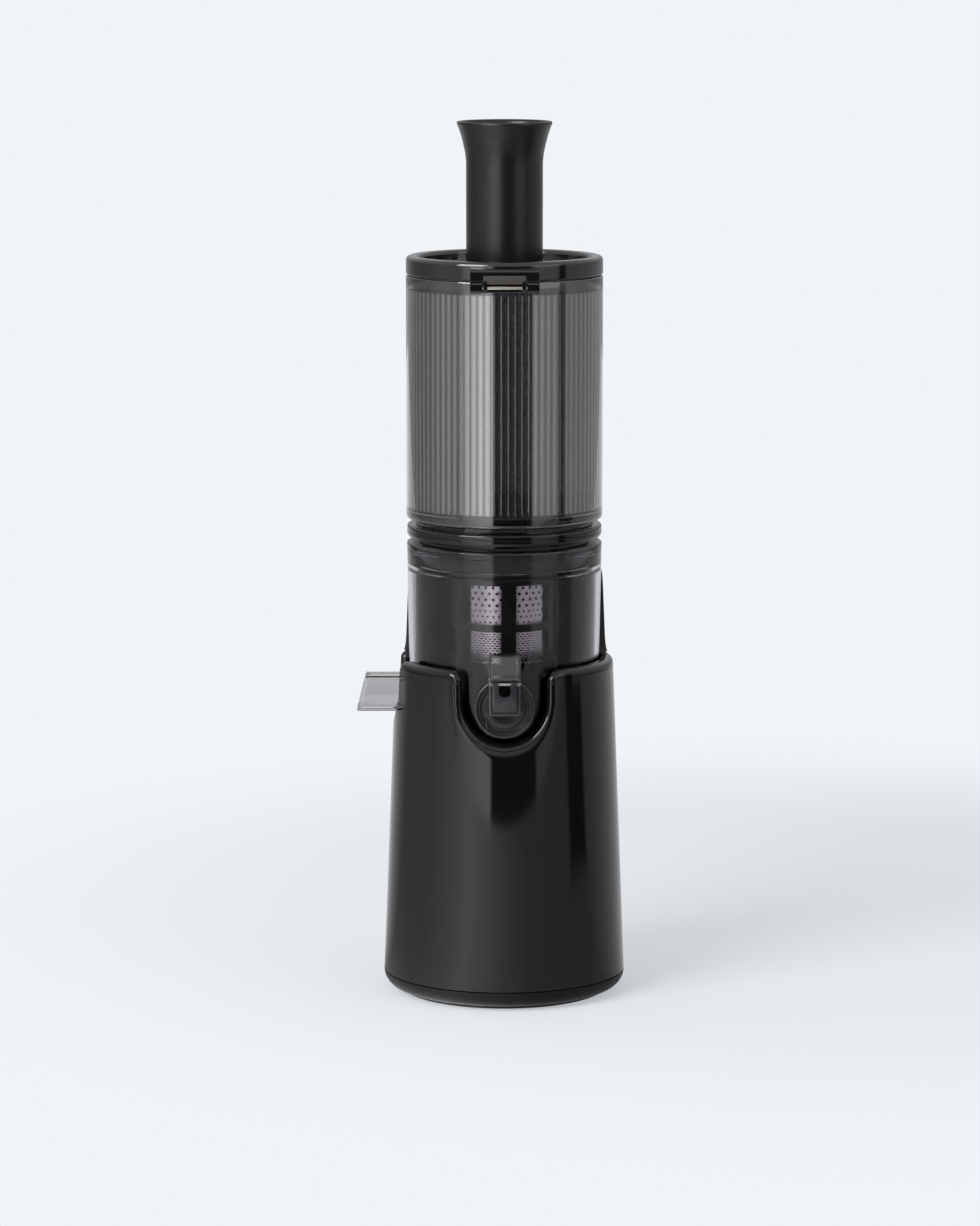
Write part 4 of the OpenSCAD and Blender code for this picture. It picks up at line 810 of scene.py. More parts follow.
# strainer: six columns of two windows between its ribs, and the pulp's way out at the left
def strainerPart():
    r0, w, ledge, top, low = [strainer[k] for k in ("radius", "wall", "ledge", "top", "low")]
    basket, skirt, sideHigh = strainer["basket"], strainer["skirt"], strainer["sideHigh"]
    ribHalf, turn = math.degrees(strainer["ribHalf"] / r0), strainer["turn"]
    pulpHalf = math.degrees(math.asin(strainer["wayHalf"] / r0))
    way = [-180 - pulpHalf, -180 + pulpHalf]
    sides = [(-90 + turn + 60 * k + ribHalf, -30 + turn + 60 * k - ribHalf) for k in range(6)]
    base = -270 + turn + ribHalf
    knots = [a if a < 90 else a - 360 for pair in sides for a in pair] + way
    azimuths = splitTurn([((k - base) % 360) + base for k in knots], 2.5)
    levels = [z for pair in (strainer["way"], *strainer["rows"]) for z in pair]
    heights = splitHeights([strainer["sideLow"], *levels, sideHigh], 7.0)
    windows = [(np.radians(way), strainer["way"])]
    for a0, a1 in sides:
        a0, a1 = ((a0 - base) % 360) + base, ((a1 - base) % 360) + base
        a1 += 360 if a1 <= a0 else 0
        windows += [(np.radians([a0, a1]), row) for row in strainer["rows"]]
    arc = np.radians(np.linspace(0, 90, 6))[1:]
    highEnd = [(r0 + 4 - 4 * math.cos(t), sideHigh + 4.3 * math.sin(t)) for t in arc]
    highEnd += [(basket - 1.5, ledge), (basket - 0.4, 268.7), (basket, 269.8), (basket, 280.2),
                (basket - 0.8, top), (skirt + 0.6, top), (skirt, 280.4), (skirt, 271.6), (skirt - 0.8, 270.8),
                (r0 - w + 4, 270.8), (r0 - w + 1.5, 270.2), (r0 - w, 268.6)]
    lowEnd = [(r0 - w, 169.0), (r0 - w - 1, 168.6), (12.6, 168.6), (12.6, low), (r0 - 1.2, low),
              (r0 - 0.3, 166.95), (r0, 167.8)]
    return windowedShell(r0 + 0 * heights, r0 - w + 0 * heights, heights, azimuths, windows, lowEnd, highEnd)


makePiece("strainerFrame", [strainerPart()], look["blackMoulding"], "bowl_unit", ["strainer_frame"],
          40)


# perforated sleeve of per-turn by row cells, each row half a cell further on. A cell is a sheared square with
# an ellipse in it: twelve points round its border and twelve round the hole, at the outer and inner radius
def perforated(count, rows, low, high, holeAcross, holeUp, outer=29.75, inner=29.15):
    pitch, rise = tau * outer / count, (high - low) / rows
    k = np.arange(12)
    third = np.array([-0.5, -1 / 6, 1 / 6])
    borderS = np.concatenate([0 * third + 0.5, -third, 0 * third - 0.5, third])
    borderT = np.concatenate([third, 0 * third + 0.5, -third, 0 * third - 0.5])
    turn = np.radians(30 * k - 45)
    holeT = holeUp * np.sin(turn) / rise
    holeS = holeAcross * np.cos(turn) / pitch - holeT / 2
    s, t = np.stack([borderS, holeS]), np.stack([borderT, holeT])
    i, j = np.meshgrid(np.arange(count), np.arange(rows), indexing="ij")
    i, j = i.reshape(-1, 1, 1), j.reshape(-1, 1, 1)
    angle = tau / count * (i + s[None] + (j + t[None]) / 2)
    z = low + (j + 0.5 + t[None]) * rise
    # axes of the cells: cell, outer or inner wall, border or hole, twelve points, place
    cells = np.stack([ringAt(outer, z, angle), ringAt(inner, z, angle)], 1)
    base = np.arange(len(cells))[:, None] * 48
    a, b = k, (k + 1) % 12
    quads = np.concatenate([
        np.stack([base + a, base + b, base + 12 + b, base + 12 + a], -1),
        np.stack([base + 24 + a, base + 24 + b, base + 36 + b, base + 36 + a], -1)[..., ::-1],
        np.stack([base + 12 + a, base + 12 + b, base + 36 + b, base + 36 + a], -1)], 1).reshape(-1, 4)
    parts = [(cells.reshape(-1, 3), quads)]
    step = tau / count / 3 * np.arange(3 * count)
    for endZ, row in ((low, 0), (high, rows)):
        ringAngle = step + tau / count * (row - 0.5) / 2 + tau / count * -0.5
        ring = np.stack([ringAt(outer, endZ, ringAngle), ringAt(inner, endZ, ringAngle)], 1)
        parts.append(gridPart(ring, True, False))
    return joined(parts)


makePiece("upperMesh", [perforated(40, 4, 243.2, 257.9, 0.9, 0.9),
                        perforated(54, 3, 233.1, 243.2, 0.62, 0.62)],
          look["meshSteel"], "bowl_unit", ["upper_mesh"], 50)
makePiece("lowerMesh", [perforated(64, 14, 209.2, 229.4, 1.12, 0.4)], look["meshSteel"], "bowl_unit",
          ["lower_mesh"], 50)

auger = dict(low=169.7, high=290.0, core=17.0, flight=28.5, turns=-620 / 360, bore=6.4, edge=0.17)


# auger: radius over azimuth and height. Two flights lie where |sin| of the turned azimuth is small
def augerPart():
    z = np.concatenate([[auger["low"]], np.linspace(auger["low"], auger["high"], 171), [auger["high"]]])
    azimuth = np.linspace(0, tau, 161)[:-1]
    climb = (z - auger["low"]) / (auger["high"] - auger["low"])
    phase = azimuth[:, None] - tau * auger["turns"] * climb[None, :]
    away = np.abs(np.sin(phase))
    lift = 1 / (1 + np.exp((away - auger["edge"]) / 0.022))
    web = np.exp(-(away / 0.42) ** 2) * 0.22
    r = auger["core"] + (auger["flight"] - auger["core"]) * np.maximum(lift, web * (1 - lift) + lift)
    taper = np.clip((auger["high"] - z) / 10, 0, 1) ** 0.5
    r = auger["core"] * (0.62 + 0.38 * taper) + (r - auger["core"]) * np.where(taper < 1, taper, 1)
    r[:, 0] = auger["bore"] + 6
    r[:, -1] = auger["bore"]
    core = ringAt(r, z[None, :], azimuth[:, None])
    hole = auger["bore"]
    bore = ringAt(np.array([hole, hole, hole + 6]), np.array([289.0, 178.2, 178.2]), azimuth[:, None])
    return gridPart(np.concatenate([core, bore], 1))


hexagon = dict(radius=8.0, edgeRound=0.8, low=288.6, high=299.0, chamfer=0.5)


# hexagon on the auger's top: a prism whose ends are drawn in a little and closed to the centre line
def hexagonPart():
    r0, low, high, chamfer = [hexagon[k] for k in ("radius", "low", "high", "chamfer")]
    corners = [(r0 * math.cos(a), r0 * math.sin(a), hexagon["edgeRound"])
               for a in np.radians(np.arange(0, 360, 60))]
    outline = rounded(corners, 3)
    rows = []
    for scale, z in ((0, low), (1 - chamfer / r0, low), (1, low + chamfer), (1, high - chamfer),
                     (1 - chamfer / r0, high), (0, high)):
        rows.append(np.stack([outline[:, 0] * scale, outline[:, 1] * scale, 0 * outline[:, 0] + z], -1))
    return gridPart(np.stack(rows, 1), True, False)


makePiece("auger", [augerPart(), hexagonPart()], look["blackMoulding"], "auger_unit", ["auger"],
          50)
print("strainer done")


hopper = dict(radius=60.5, inner=57.5, ribHeight=0.9, ribInset=0.05, ribs=90, perRib=8, low=296.0,
              floor=300.0, ribLow=304.0, ribHigh=438.0, top=446.0)


# hopper: outline turned about Z, but between the two plain bands the inner wall is scalloped:
# r = inner - ribInset - ribHeight * |sin(ribs * azimuth / 2)|
def hopperPart():
    count = hopper["ribs"] * hopper["perRib"]
    azimuth = tau * np.arange(count) / count
    r0, inner, low, floorZ, top = [hopper[k] for k in ("radius", "inner", "low", "floor", "top")]
    outside = [(48.0, low), (50.6, 295.4), (51.0, 294.8), (51.0, 286.3), (51.3, 286.0), (54.2, 286.0),
               (54.5, 286.3), (54.5, 295.4), (54.9, 295.9), (55.6, low)]
    outside += [(r0 - 2.4 + 2.4 * math.cos(t), 298.4 + 2.4 * math.sin(t))
                for t in np.radians(np.linspace(-90, 0, 9))[1:]]
    outside += [(r0, z) for z in np.linspace(298.4, 444.9, 22)[1:]]
    outside += [(r0 - 0.12, 445.4), (r0 - 0.45, 445.85), (r0 - 1.0, top), (inner + 0.6, top),
                (inner + 0.15, 445.85), (inner, 445.4), (inner, hopper["ribHigh"] + 0.02)]
    ribRows = [(inner, z) for z in np.linspace(hopper["ribHigh"], hopper["ribLow"], 18)]
    inside = [(56.6, 303.9), (56.4, 302.2), (55.6, 300.9), (54.0, 300.2), (52.0, floorZ), (48.0, floorZ),
              (36.5, floorZ), (36.0, 299.6), (36.0, 296.4), (36.5, low)]
    outline = np.array(outside + ribRows + inside)
    isRib = np.zeros(len(outline), bool)
    isRib[len(outside):len(outside) + len(ribRows)] = True
    wave = np.abs(np.sin(hopper["ribs"] * azimuth / 2))
    r = outline[None, :, 0] - hopper["ribInset"] * isRib[None, :]
    r = r - hopper["ribHeight"] * wave[:, None] * isRib[None, :]
    return gridPart(ringAt(r, outline[None, :, 1], azimuth[:, None]))


hinge = dict(y=-62.5, z=442.9, knuckle=3.6, width=42.0, middle=26.4, gap=0.3)


# closed outline in the (y, z) plane carried along X, with drawn-in ends
def alongX(outline, x0, x1, chamfer=0.35, centre=(-60.0, 442.9)):
    centre = np.array(centre)
    rows = []
    half = np.ptp(outline, axis=0) / 2
    for inset, x in ((None, x0), (chamfer, x0), (0, x0 + chamfer), (0, x1 - chamfer), (chamfer, x1),
                     (None, x1)):
        shrink = 0 * half if inset is None else 1 - inset / half
        ring = centre + (outline - centre) * shrink
        rows.append(np.stack([0 * ring[:, 0] + x, ring[:, 0], ring[:, 1]], -1))
    return gridPart(np.stack(rows, 1), True, False)


def hopperEars():
    y, z, k = hinge["y"], hinge["z"], hinge["knuckle"]
    outline = rounded([(y - k, z - k, 2.2), (y - k, z + k - 0.3, 1.4), (-58.2, z + k - 0.3, 0.2),
                       (-58.2, z - k, 0.2)], 6)
    outer, middle = hinge["width"] / 2, hinge["middle"] / 2 + hinge["gap"]
    return [alongX(outline, -outer, -middle), alongX(outline, middle, outer)]


# hopper colours: dark on the ribs, plain on the bands, and a light groove colour that is partly the thin
# wall's tint and partly painted light for the light the grooves refract
ribLook = dict(dark=(0.12, 0.115, 0.12, 1), line=(0.6, 0.58, 0.6, 1), plain=(0.22, 0.22, 0.23, 1),
               coatRib=0.2, coatPlain=0.3, lineScatter=0.15, thinPower=2.5, thickPower=40.0, endSlope=2000)


# hopper's plastic. Between two ribs, where the wall is thin, its tint is lighter, and a light colour shown
# there as diffuse paint is painted light for the light the grooves refract. The coat is full over the ribbed
# wall, falls to coatRib on a narrow line along each rib's crest, and is coatPlain on the plain bands. All
# follow |sin(ribs * azimuth / 2)|, and stop at the ribs' ends
def markRibs(material):
    tree = material.node_tree
    shader = tree.nodes["Principled BSDF"]

    def combine(operation, a, b=0.0, clamp=False):
        return mathNode(tree, operation, a, b, clamp)

    where = newNode(tree, "ShaderNodeTexCoord").outputs["Object"]
    apart = newNode(tree, "ShaderNodeSeparateXYZ", Vector=where)
    azimuth = combine("ARCTAN2", apart.outputs["Y"], apart.outputs["X"])
    wave = combine("ABSOLUTE", combine("SINE", combine("MULTIPLY", azimuth, hopper["ribs"] / 2)))
    height, slope = apart.outputs["Z"], ribLook["endSlope"]
    above = combine("MULTIPLY", combine("SUBTRACT", height, hopper["ribLow"] * mm), slope, True)
    below = combine("MULTIPLY", combine("SUBTRACT", hopper["ribHigh"] * mm, height), slope, True)
    ribbed = combine("MULTIPLY", above, below)
    thin = combine("POWER", combine("SUBTRACT", 1.0, wave), ribLook["thinPower"])
    # painted light: the light lines between the ribs are partly the thin wall's lighter tint and partly
    # painted light for the light the grooves refract
    lined = mixColor(tree, thin, ribLook["dark"], ribLook["line"])
    tree.links.new(mixColor(tree, ribbed, ribLook["plain"], lined), shader.inputs["Base Color"])
    thick = combine("MULTIPLY", combine("POWER", wave, ribLook["thickPower"]), ribLook["coatRib"] - 1)
    ribCoat = combine("ADD", thick, 1 - ribLook["coatPlain"])
    coat = combine("ADD", combine("MULTIPLY", ribCoat, ribbed), ribLook["coatPlain"])
    tree.links.new(coat, shader.inputs["Coat Weight"])
    # at each groove a share of the clear wall becomes diffuse paint in the light groove colour, which shows
    # as painted light lines
    clearLostToGrooveLight = combine("MULTIPLY", combine("MULTIPLY", thin, ribbed), -ribLook["lineScatter"])
    tree.links.new(combine("ADD", clearLostToGrooveLight, 1.0), shader.inputs["Transmission Weight"])


markRibs(look["smokeClear"])
makePiece("hopper", [hopperPart()], look["smokeClear"], "hopper_unit", ["hopper"], 40)
makePiece("hingeEars", hopperEars(), look["lidBlack"], "hopper_unit")

lockRing = dict(count=160, outline=[
    (49.5, 274.0, 0.4), (52.0, 274.0, 0.5), (52.0, 285.0, 0.6), (58.1, 285.0, 0.3), (59.4, 285.4, 0.8),
    (60.1, 287.0, 0.8), (60.1, 288.6, 0.15), (59.75, 288.8, 0.1), (59.75, 289.2, 0.1), (60.1, 289.4, 0.15),
    (60.1, 292.5, 1.9), (54.55, 292.5, 0.5), (54.55, 285.95, 0.2), (49.5, 285.95, 0.3)])
lockPart = revolved(rounded(lockRing["outline"]), lockRing["count"])
makePiece("lockRing", [lockPart], look["glossBlack"], "hopper_unit", ["lock_ring"], 30)

wing = dict(finLow=302, finHigh=333.2, finTurn=15, finY=-5.6, armIn=12.0, armOut=51.0, hub=[
    (8.4, 290.3, 0.3), (15.0, 290.3, 0.6), (15.0, 305.2, 3.0), (8.6, 309.6, 3.0), (7.0, 311.2, 1.0),
    (0.0, 311.4, 0), (0.0, 299.6, 0), (8.4, 299.6, 0.3)])


# section between an ellipse and a rectangle: w * sign(cos) * |cos| ^ 0.7 across, and h with sin for the
# other way
def softSection(w, h, count=20):
    angle = tau * np.arange(count) / count
    return [size * np.sign(f) * np.abs(f) ** 0.7 for size, f in ((w, np.cos(angle)), (h, np.sin(angle)))]


# surface over the given rings, closed to a point at each end
def capped(rows):
    start, end = [0 * row + row.mean(0) for row in (rows[0], rows[-1])]
    return gridPart(np.stack([start, *rows, end]), False, True)


def wingParts():
    t = np.linspace(0, 1, 15)
    # tall fin: leans in from the hub's left and stands up as a narrow plate
    turn = math.radians(wing["finTurn"])
    height = wing["finLow"] + (wing["finHigh"] - wing["finLow"]) * t
    fin = []
    for x, z, w, d in zip(-12.0 - 5.6 * np.sin(t * math.pi / 2), height, 6.6 - 3.8 * t ** 0.7, 1.9 - 0.5 * t):
        across, through = softSection(w, d)
        fin.append(np.stack([
            x + across * math.cos(turn) - through * math.sin(turn),
            wing["finY"] + across * math.sin(turn) + through * math.cos(turn), 0 * across + z], -1))
    # low arm: sweeps out and round, and sinks towards its tip
    turns = np.radians(-70 + 118 * t)
    reach = wing["armIn"] + (wing["armOut"] - wing["armIn"]) * np.sin(t * math.pi / 2) ** 0.9
    arm = []
    for r, a, z, w, h in zip(reach, turns, 307.4 - 1.6 * t, 2.6 - 1.0 * t, 6.0 - 2.2 * t):
        across, up = softSection(w, h)
        arm.append(np.stack([(r + across) * np.cos(a), (r + across) * np.sin(a), z + up], -1))
    return [revolved(rounded(wing["hub"]), 72), capped(fin), capped(arm)]


makePiece("cuttingWing", wingParts(), look["blackMoulding"], "wing_unit", ["cutting_wing"],
          45)
print("hopper done")


lid = dict(count=160, steps=7, skirtFrom=-35, skirtTo=215, outline=[
    (23.9, 448.5, 0.3), (52.4, 448.5, 0.3), (52.4, 446.9, 0.2), (60.2, 446.9, 0.2), (60.5, 447.3, 0.2),
    (60.5, 457.9, 3.9), (54.6, 457.9, 0.7), (53.2, 457.2, 0.8), (52.6, 455.6, 1.2), (52.4, 451.1, 0.9),
    (27.0, 451.1, 0.5), (26.2, 450.6, 0.3), (24.4, 450.6, 0.3), (23.9, 450.1, 0.3)],
    skirt=[(54.9, 443.9, 0.4), (56.9, 443.9, 0.5), (56.9, 447.2, 0.1), (54.9, 447.2, 0.1)])


# skirt that reaches into the hopper, left out at the hinge
def lidSkirtPart():
    azimuth = np.radians(np.linspace(lid["skirtFrom"], lid["skirtTo"], 101))
    outline = rounded(lid["skirt"], 3)
    return capped(ringAt(outline[None, :, 0], outline[None, :, 1], azimuth[:, None]))


# hinge's middle: lip under the lid's rim, a plate with a window over the pin, and the knuckle's two ends
def lidHingeParts():
    y, z = hinge["y"], hinge["z"]
    half = hinge["middle"] / 2 - hinge["gap"]
    lip = rounded([(-65.2, 446.9, 0.4), (-65.0, 453.6, 1.6), (-57.0, 454.6, 0.2), (-57.0, 446.9, 0.2)], 5)
    cheek = rounded([(y - 3.4, z - 3.4, 2.6), (y - 3.4, z + 4.6, 0.8), (y + 2.6, z + 4.6, 0.4),
                     (y + 3.4, z - 3.4, 2.8)], 7)
    plate = rounded([(-64.2, z + 2.2, 0.2), (-65.5, z + 2.2, 0.3), (-65.4, z + 7.3, 0.3),
                     (-64.2, z + 7.3, 0.2)], 4)
    backing = rounded([(y + 0.9, z - 3.2, 0.6), (y + 0.9, z + 4.4, 0.4), (y + 3.0, z + 4.4, 0.4),
                       (y + 3.0, z - 3.2, 1.4)], 4)
    parts = [alongX(lip, -hinge["width"] / 2, hinge["width"] / 2, 0.4, (-61.0, 448.9))]
    for side in (-1, 1):
        a, b = sorted((side * (half - 2.3), side * half))
        parts.append(alongX(cheek, a, b, 0.3, (y, z)))
    parts.append(alongX(backing, -half + 2.2, half - 2.2, 0.1, (y + 1.9, z)))
    return parts, alongX(plate, -half, half, 0.2, (-64.9, z + 4.75))


hingeParts, hingePlate = lidHingeParts()
lidParts = [revolved(rounded(lid["outline"], lid["steps"]), lid["count"]), lidSkirtPart()]
makePiece("lid", lidParts, look["lidBlack"], "lid_unit", ["lid"], 30)
makePiece("hingePlate", [hingePlate], look["plateBlack"], "lid_unit", sharp=30)
makePiece("lidHinge", hingeParts, look["lidBlack"], "lid_unit", sharp=30)

hingePin = dict(radius=1.25, half=20.0, edgeRound=0.3)
pinR, pinEnd, pinRound = hingePin["radius"], hingePin["half"], hingePin["edgeRound"]
pinOutline = rounded([(0, -pinEnd), (pinR, -pinEnd, pinRound), (pinR, pinEnd, pinRound), (0, pinEnd)], 4)
pinPart = revolvedAlongX(pinOutline, hinge["y"], hinge["z"])
makePiece("hingePin", [pinPart], look["pinSteel"], "hopper_unit", ["hinge_pin"])

pusher = dict(count=128, steps=7, outline=[
    (0, 448.7), (22.5, 448.7, 0.3), (23.5, 449.7, 0.6), (23.5, 514.7, 30), (23.95, 519.5, 30),
    (24.9, 524.2, 30), (26.35, 530.2, 20), (28.0, 535.2, 8), (29.2, 538.2, 1.5), (29.1, 539.5, 0.8),
    (28.0, 539.7, 0.8), (27.0, 538.4, 2), (25.4, 533.5, 10), (23.1, 525.5, 20), (21.3, 514.7, 30),
    (21.3, 450.9, 2.0), (0, 450.9)])
pusherPart = revolved(rounded(pusher["outline"], pusher["steps"]), pusher["count"])
makePiece("pusher", [pusherPart], look["mattBlack"], "pusher_unit", ["pusher"], 40)
print("lid done")


knob = dict(
    height=122.0, flutes=24, fluteDepth=0.4, fluteFrom=14.3,
    spindle=[(0, 60.0), (3.0, 60.0, 0.3), (3.0, 71.0), (0, 71.0)],
    outline=[(0, 70.3), (14.6, 70.3, 0.3), (15.0, 70.8, 0.3), (15.0, 75.2, 1.0), (13.6, 76.2, 0.6),
             (0, 76.2)])
coneHere = float(coneRadius(knob["height"]))


# knob: turned about Y with shallow flutes in its side, r = radius - fluteDepth * |sin(flutes * angle / 2)|
def knobParts():
    points, quads = revolvedAlongY(rounded(knob["outline"], 5), knob["height"], 192)
    x, z = points[:, 0], points[:, 2] - knob["height"]
    r, angle = np.hypot(x, z), np.arctan2(z, x)
    press = knob["fluteDepth"] * np.abs(np.sin(knob["flutes"] * angle / 2)) * (r > knob["fluteFrom"])
    scale = (r - press) / np.maximum(r, 1e-6)
    points = np.stack([x * scale, points[:, 1], z * scale + knob["height"]], -1)
    grip = roundedBox((-4.0, 75.0, 108.2), (4.0, 81.1, 135.8), 1.6)
    return [(points, quads), grip, revolvedAlongY(rounded(knob["spindle"], 3), knob["height"], 40)]


def bezelPart():
    c = coneHere
    outline = rounded([
        (18.5, c - 5.9, 0.3), (18.5, c + 0.9, 0.2), (20.5, c + 0.9, 0.2), (20.5, c + 1.6, 0.5),
        (19.9, c + 2.0, 0.4), (16.2, c + 2.0, 0.5), (15.5, c + 1.2, 0.4), (15.5, c - 0.9, 0.2),
        (3.3, c - 0.9, 0.2), (3.3, c - 5.9, 0.2)], 4)
    return revolvedAlongY(outline, knob["height"], 128)


makePiece("knobBezel", [bezelPart()], look["coverBlack"], "base", ["knob_bezel"])
makePiece("controlKnob", knobParts(), look["mattBlack"], "knob", ["control_knob"], 35)
makePiece("knobMark", [roundedBox((-0.6, 80.6, 130.2), (0.6, 81.15, 135.2), 0.25)], look["nylon"], "knob")
markParts = []
for a in np.radians([45, 90, 135]):
    cx, cz = 18.2 * math.cos(a), knob["height"] + 18.2 * math.sin(a)
    markParts.append(roundedBox((cx - 0.55, coneHere + 1.75, cz - 0.55),
                                (cx + 0.55, coneHere + 2.05, cz + 0.55), 0.14))
makePiece("bezelMarks", markParts, look["nylon"], "base")

gland = dict(height=28.0, bore=3.3, reach=12, ringPitch=1.7)


# gland: a flange on the shell, then rings along the sleeve until its end
def glandPart():
    c, bore = float(coneRadius(gland["height"])), gland["bore"]
    out = c + gland["reach"]
    corners = [(bore, c - 7.0, 0.2), (6.3, c - 7.0, 0.3), (6.3, c + 0.5, 0.2), (8.9, c + 0.5, 0.4),
               (8.9, c + 2.4, 0.9), (7.0, c + 3.2, 0.6)]
    y = c + 3.8
    while y < out - 2.2:
        corners += [(5.3, y, 0.25), (5.3, y + 0.7, 0.25), (4.7, y + 0.9, 0.2), (4.7, y + 1.5, 0.2)]
        y += gland["ringPitch"]
    corners += [(5.1, out - 0.5, 0.4), (4.6, out, 0.5), (bore, out, 0.3)]
    return revolvedAlongY(rounded(corners, 3), gland["height"], 72)


makePiece("cordGland", [glandPart()], look["rubber"], "base", ["cord_gland"])
print("rear done")

# CAD nodes that keep their shape, and the finish of each
kept = dict(
    chassis="coverBlack", motor_can="steel", stator="copper", motor_lower_cap="steel",
    motor_upper_cap="steel", motor_bushes="bronze", motor_dampers="rubber", gearbox_housing="blackMoulding",
    gearbox_cover="blackMoulding", output_bushes="bronze", idler_axle="steel", deck_seal="rubber",
    control_board="boardGreen", capacitor="greyMoulding", bowl_sensor="greyMoulding",
    switch_body="greyMoulding", cover_screws="steel", motor_screws="steel", gearbox_screws="steel",
    deck_screws="steel", rotor_core="laminations", motor_shaft="steel", cooling_fan="nylon",
    idler_gear="nylon", output_gear="nylon", drive_shaft="steel", bowl_seal="rubber",
    bowl_magnet="greyMoulding", flap_pin="steel", hopper_seal="rubber", lid_gasket="rubber",
)
for nodeName, finish in kept.items():
    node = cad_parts[nodeName]
    if not node.material_slots:
        node.data.materials.append(look[finish])
    for place in node.material_slots:
        place.material = look[finish]
print("kept nodes", len(kept))

# bands: what a mirror on the object shows at each azimuth, in degrees from the camera towards the right.
# The floor has bands of its own, because it lies lower and nearer
studio = dict(
    backdrop=(0.87, 0.905, 0.94, 1), softColor=(0.95, 0.97, 1.0, 1), softLight=0.52,
    bounceColor=(0.8, 0.82, 0.84, 1), above=0.75, aboveFrom=0.12, aboveSlope=4.0,
    floor=dict(left=-1.9, right=1.9, front=-1.03, back=4.0),
    shadowShare=0.52, shadowAt=(0.2, 0.2, 0), shadowFull=0.3, shadowEnd=0.7,
    bands=[(-180, 0.5), (-157, 0.45), (-125, 0.24), (-100, 0.34), (-76, 0.58), (-52, 0.54), (-48.5, 1.1),
           (-30, 1.7), (-15, 1.9), (-12.5, 0.015), (31, 0.015), (34, 0.64), (65, 0.54), (67, 0.02),
           (75, 0.02), (77, 0.46), (100, 0.42), (131, 0.42), (155, 0.4), (180, 0.5)],
    floorBands=[(-180, 0.9), (-155, 0.85), (-117, 0.3), (-76, 0.6), (-50, 1.0), (-34, 1.4), (-15, 1.05),
                (0, 0.65), (20, 0.4), (64, 0.32), (67, 0.02), (84, 0.02), (87, 0.34), (131, 0.6),
                (155, 0.7), (180, 0.8)],
    nearLevel=0.3, nearFrom=0.5, nearTo=0.78,
)


def mixShader(tree, factor, first, second):
    node = tree.nodes.new("ShaderNodeMixShader")
    for socket, value in zip(node.inputs, (factor, first, second)):
        tree.links.new(value, socket)
    return node.outputs[0]


# colour over the azimuth atan2(x, -y) of a direction or place
def azimuthRamp(tree, vector, bands):
    apart = newNode(tree, "ShaderNodeSeparateXYZ", Vector=vector)
    azimuth = mathNode(tree, "ARCTAN2", apart.outputs["X"],
                       mathNode(tree, "MULTIPLY", apart.outputs["Y"], -1.0))
    part = mathNode(tree, "ADD", mathNode(tree, "DIVIDE", azimuth, tau), 0.5)
    ramp = newNode(tree, "ShaderNodeValToRGB", Fac=part)
    stops = ramp.color_ramp.elements
    while len(stops) < len(bands):
        stops.new(0.5)
    for stop, (degrees, level) in zip(stops, bands):
        stop.position, stop.color = degrees / 360 + 0.5, (0.98 * level, 0.985 * level, level, 1)
    return ramp.outputs["Color"], apart.outputs["Z"]


# light path's outputs, and 1 for a ray from the camera or through clear plastic
def lightPath(tree):
    found = newNode(tree, "ShaderNodeLightPath").outputs
    return found, mathNode(tree, "MAXIMUM", found["Is Camera Ray"], found["Is Transmission Ray"])


# world: plain where seen, soft for light that falls on things, and banded in every mirror
def studioWorld():
    world = bpy.data.worlds.new("studioWorld")
    scene.world = world
    world.use_nodes = True
    tree = world.node_tree
    tree.nodes.clear()
    seen = newNode(tree, "ShaderNodeBackground", Color=studio["backdrop"]).outputs[0]
    soft = newNode(tree, "ShaderNodeBackground", Color=studio["softColor"],
                   Strength=studio["softLight"]).outputs[0]
    bands, height = azimuthRamp(tree, newNode(tree, "ShaderNodeTexCoord").outputs["Generated"],
                                studio["bands"])
    rise = mathNode(tree, "SUBTRACT", height, studio["aboveFrom"])
    aboveColor = [studio["above"] * c for c in (0.98, 0.99, 1.0)] + [1]
    banded = mixColor(tree, mathNode(tree, "MULTIPLY", rise, studio["aboveSlope"], True), bands, aboveColor)
    mirrored = newNode(tree, "ShaderNodeBackground", Color=banded).outputs[0]
    path, direct = lightPath(tree)
    wasMirrored = mathNode(tree, "MINIMUM", path["Glossy Depth"], 1.0)
    directLook = mixShader(tree, wasMirrored, seen, mirrored)
    bounced = mixShader(tree, path["Is Glossy Ray"], soft, mirrored)
    newNode(tree, "ShaderNodeOutputWorld", Surface=mixShader(tree, direct, bounced, directLook))


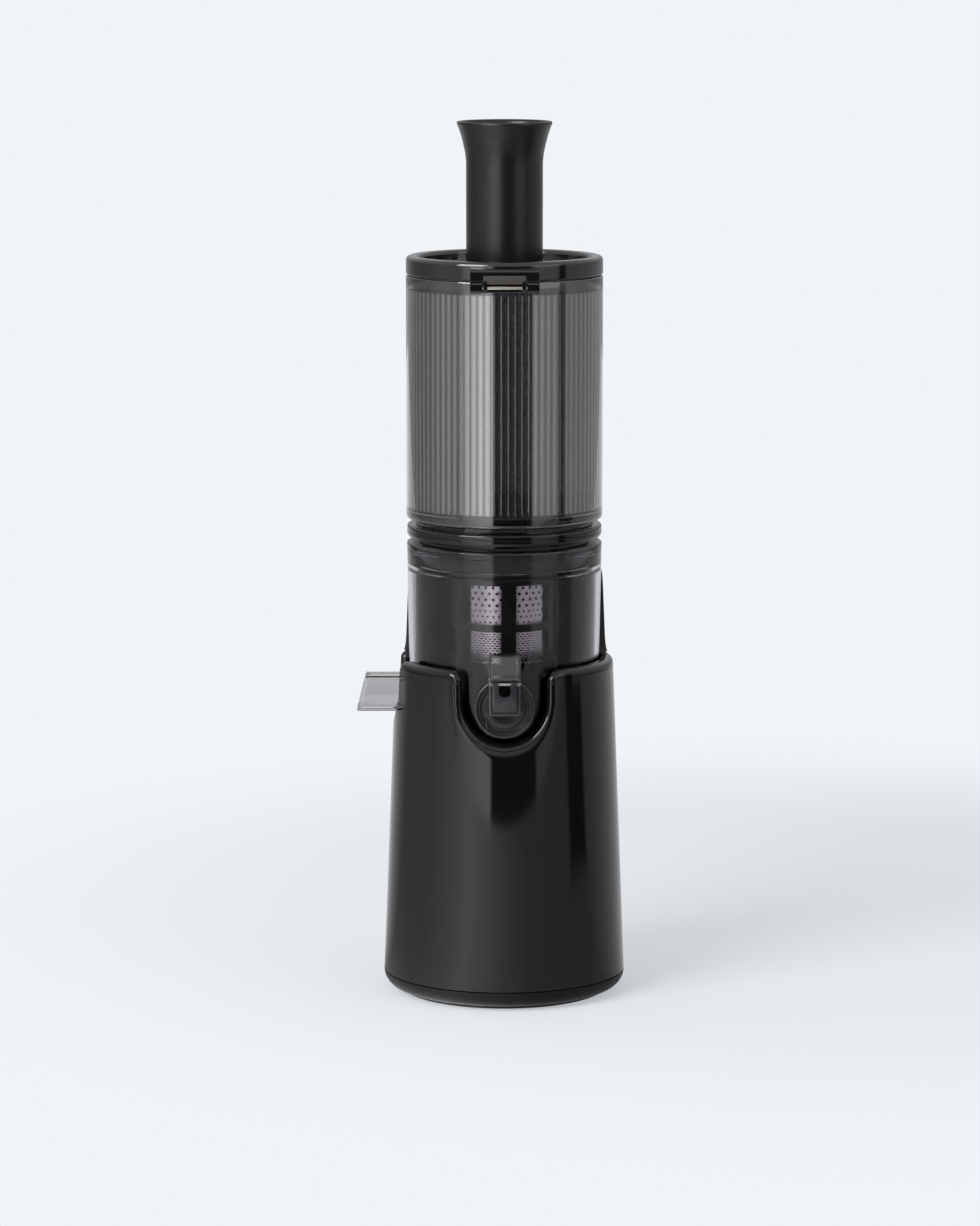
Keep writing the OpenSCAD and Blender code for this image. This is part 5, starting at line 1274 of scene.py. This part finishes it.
# floor: seen, it is the backdrop's colour, and near the object a share of it is lit paint that takes the
# shadow
def studioFloor():
    left, right, front, back = [studio["floor"][k] for k in ("left", "right", "front", "back")]
    mesh = bpy.data.meshes.new("floor")
    corners = [(left, front, 0), (right, front, 0), (right, back, 0), (left, back, 0)]
    mesh.from_pydata(corners, [], [(0, 1, 2, 3)])
    floor = bpy.data.objects.new("floor", mesh)
    scene.collection.objects.link(floor)
    material = bpy.data.materials.new("floorLook")
    material.use_nodes = True
    tree = material.node_tree
    tree.nodes.clear()
    glow = newNode(tree, "ShaderNodeEmission", Color=studio["backdrop"]).outputs[0]
    paint = newNode(tree, "ShaderNodeBsdfDiffuse", Color=studio["backdrop"]).outputs[0]
    plain = newNode(tree, "ShaderNodeBsdfDiffuse", Color=studio["bounceColor"]).outputs[0]
    where = newNode(tree, "ShaderNodeTexCoord").outputs["Object"]
    farSheen = azimuthRamp(tree, where, studio["floorBands"])[0]

    def distanceTo(point):
        node = tree.nodes.new("ShaderNodeVectorMath")
        node.operation = "DISTANCE"
        tree.links.new(where, node.inputs[0])
        node.inputs[1].default_value = point
        return node.outputs["Value"]

    near = rangeNode(tree, distanceTo((0, 0, 0)), (studio["nearFrom"], studio["nearTo"]),
                     (studio["nearLevel"], 0), True)
    sheen = newNode(tree, "ShaderNodeEmission",
                    Color=mixColor(tree, 1.0, farSheen, near, "LIGHTEN")).outputs[0]
    fade = rangeNode(tree, distanceTo(studio["shadowAt"]), (studio["shadowFull"], studio["shadowEnd"]),
                     (studio["shadowShare"], 0), True)
    path, direct = lightPath(tree)
    seenFloor = mixShader(tree, fade, glow, paint)
    bounced = mixShader(tree, path["Is Glossy Ray"], plain, sheen)
    newNode(tree, "ShaderNodeOutputMaterial", Surface=mixShader(tree, direct, bounced, seenFloor))
    mesh.materials.append(material)
    return floor


studioWorld()
floor = studioFloor()

lamps = dict(
    key=dict(place=(-1.6, -1.8, 1.75), aim=(0, 0, 0.25), size=(1.5, 1.5), power=58),
    fill=dict(place=(2.0, -1.6, 1.3), aim=(0, 0, 0.25), size=(1.6, 1.6), power=5),
)
for name, lamp in lamps.items():
    data = bpy.data.lights.new(name, "AREA")
    data.shape = "RECTANGLE"
    data.size, data.size_y = lamp["size"]
    data.energy = lamp["power"]
    light = bpy.data.objects.new(name, data)
    scene.collection.objects.link(light)
    light.location = lamp["place"]
    light.rotation_euler = (Vector(lamp["aim"]) - Vector(lamp["place"])).to_track_quat("-Z", "Y").to_euler()

# camera as fitted to the photo's circles: the focal length is in pixels of the photo's height
view = dict(place=(-0.00887, -2.85, 0.6684), down=8.6246, focal=4650.7, pixels=1226, sensor=36)
cameraData = bpy.data.cameras.new("camera")
cameraData.sensor_width = view["sensor"]
cameraData.lens = view["focal"] * view["sensor"] / view["pixels"]
camera = bpy.data.objects.new("camera", cameraData)
scene.collection.objects.link(camera)
camera.location = view["place"]
camera.rotation_euler = (math.radians(90 - view["down"]), 0, 0)
scene.camera = camera
scene.view_settings.view_transform = "Standard"
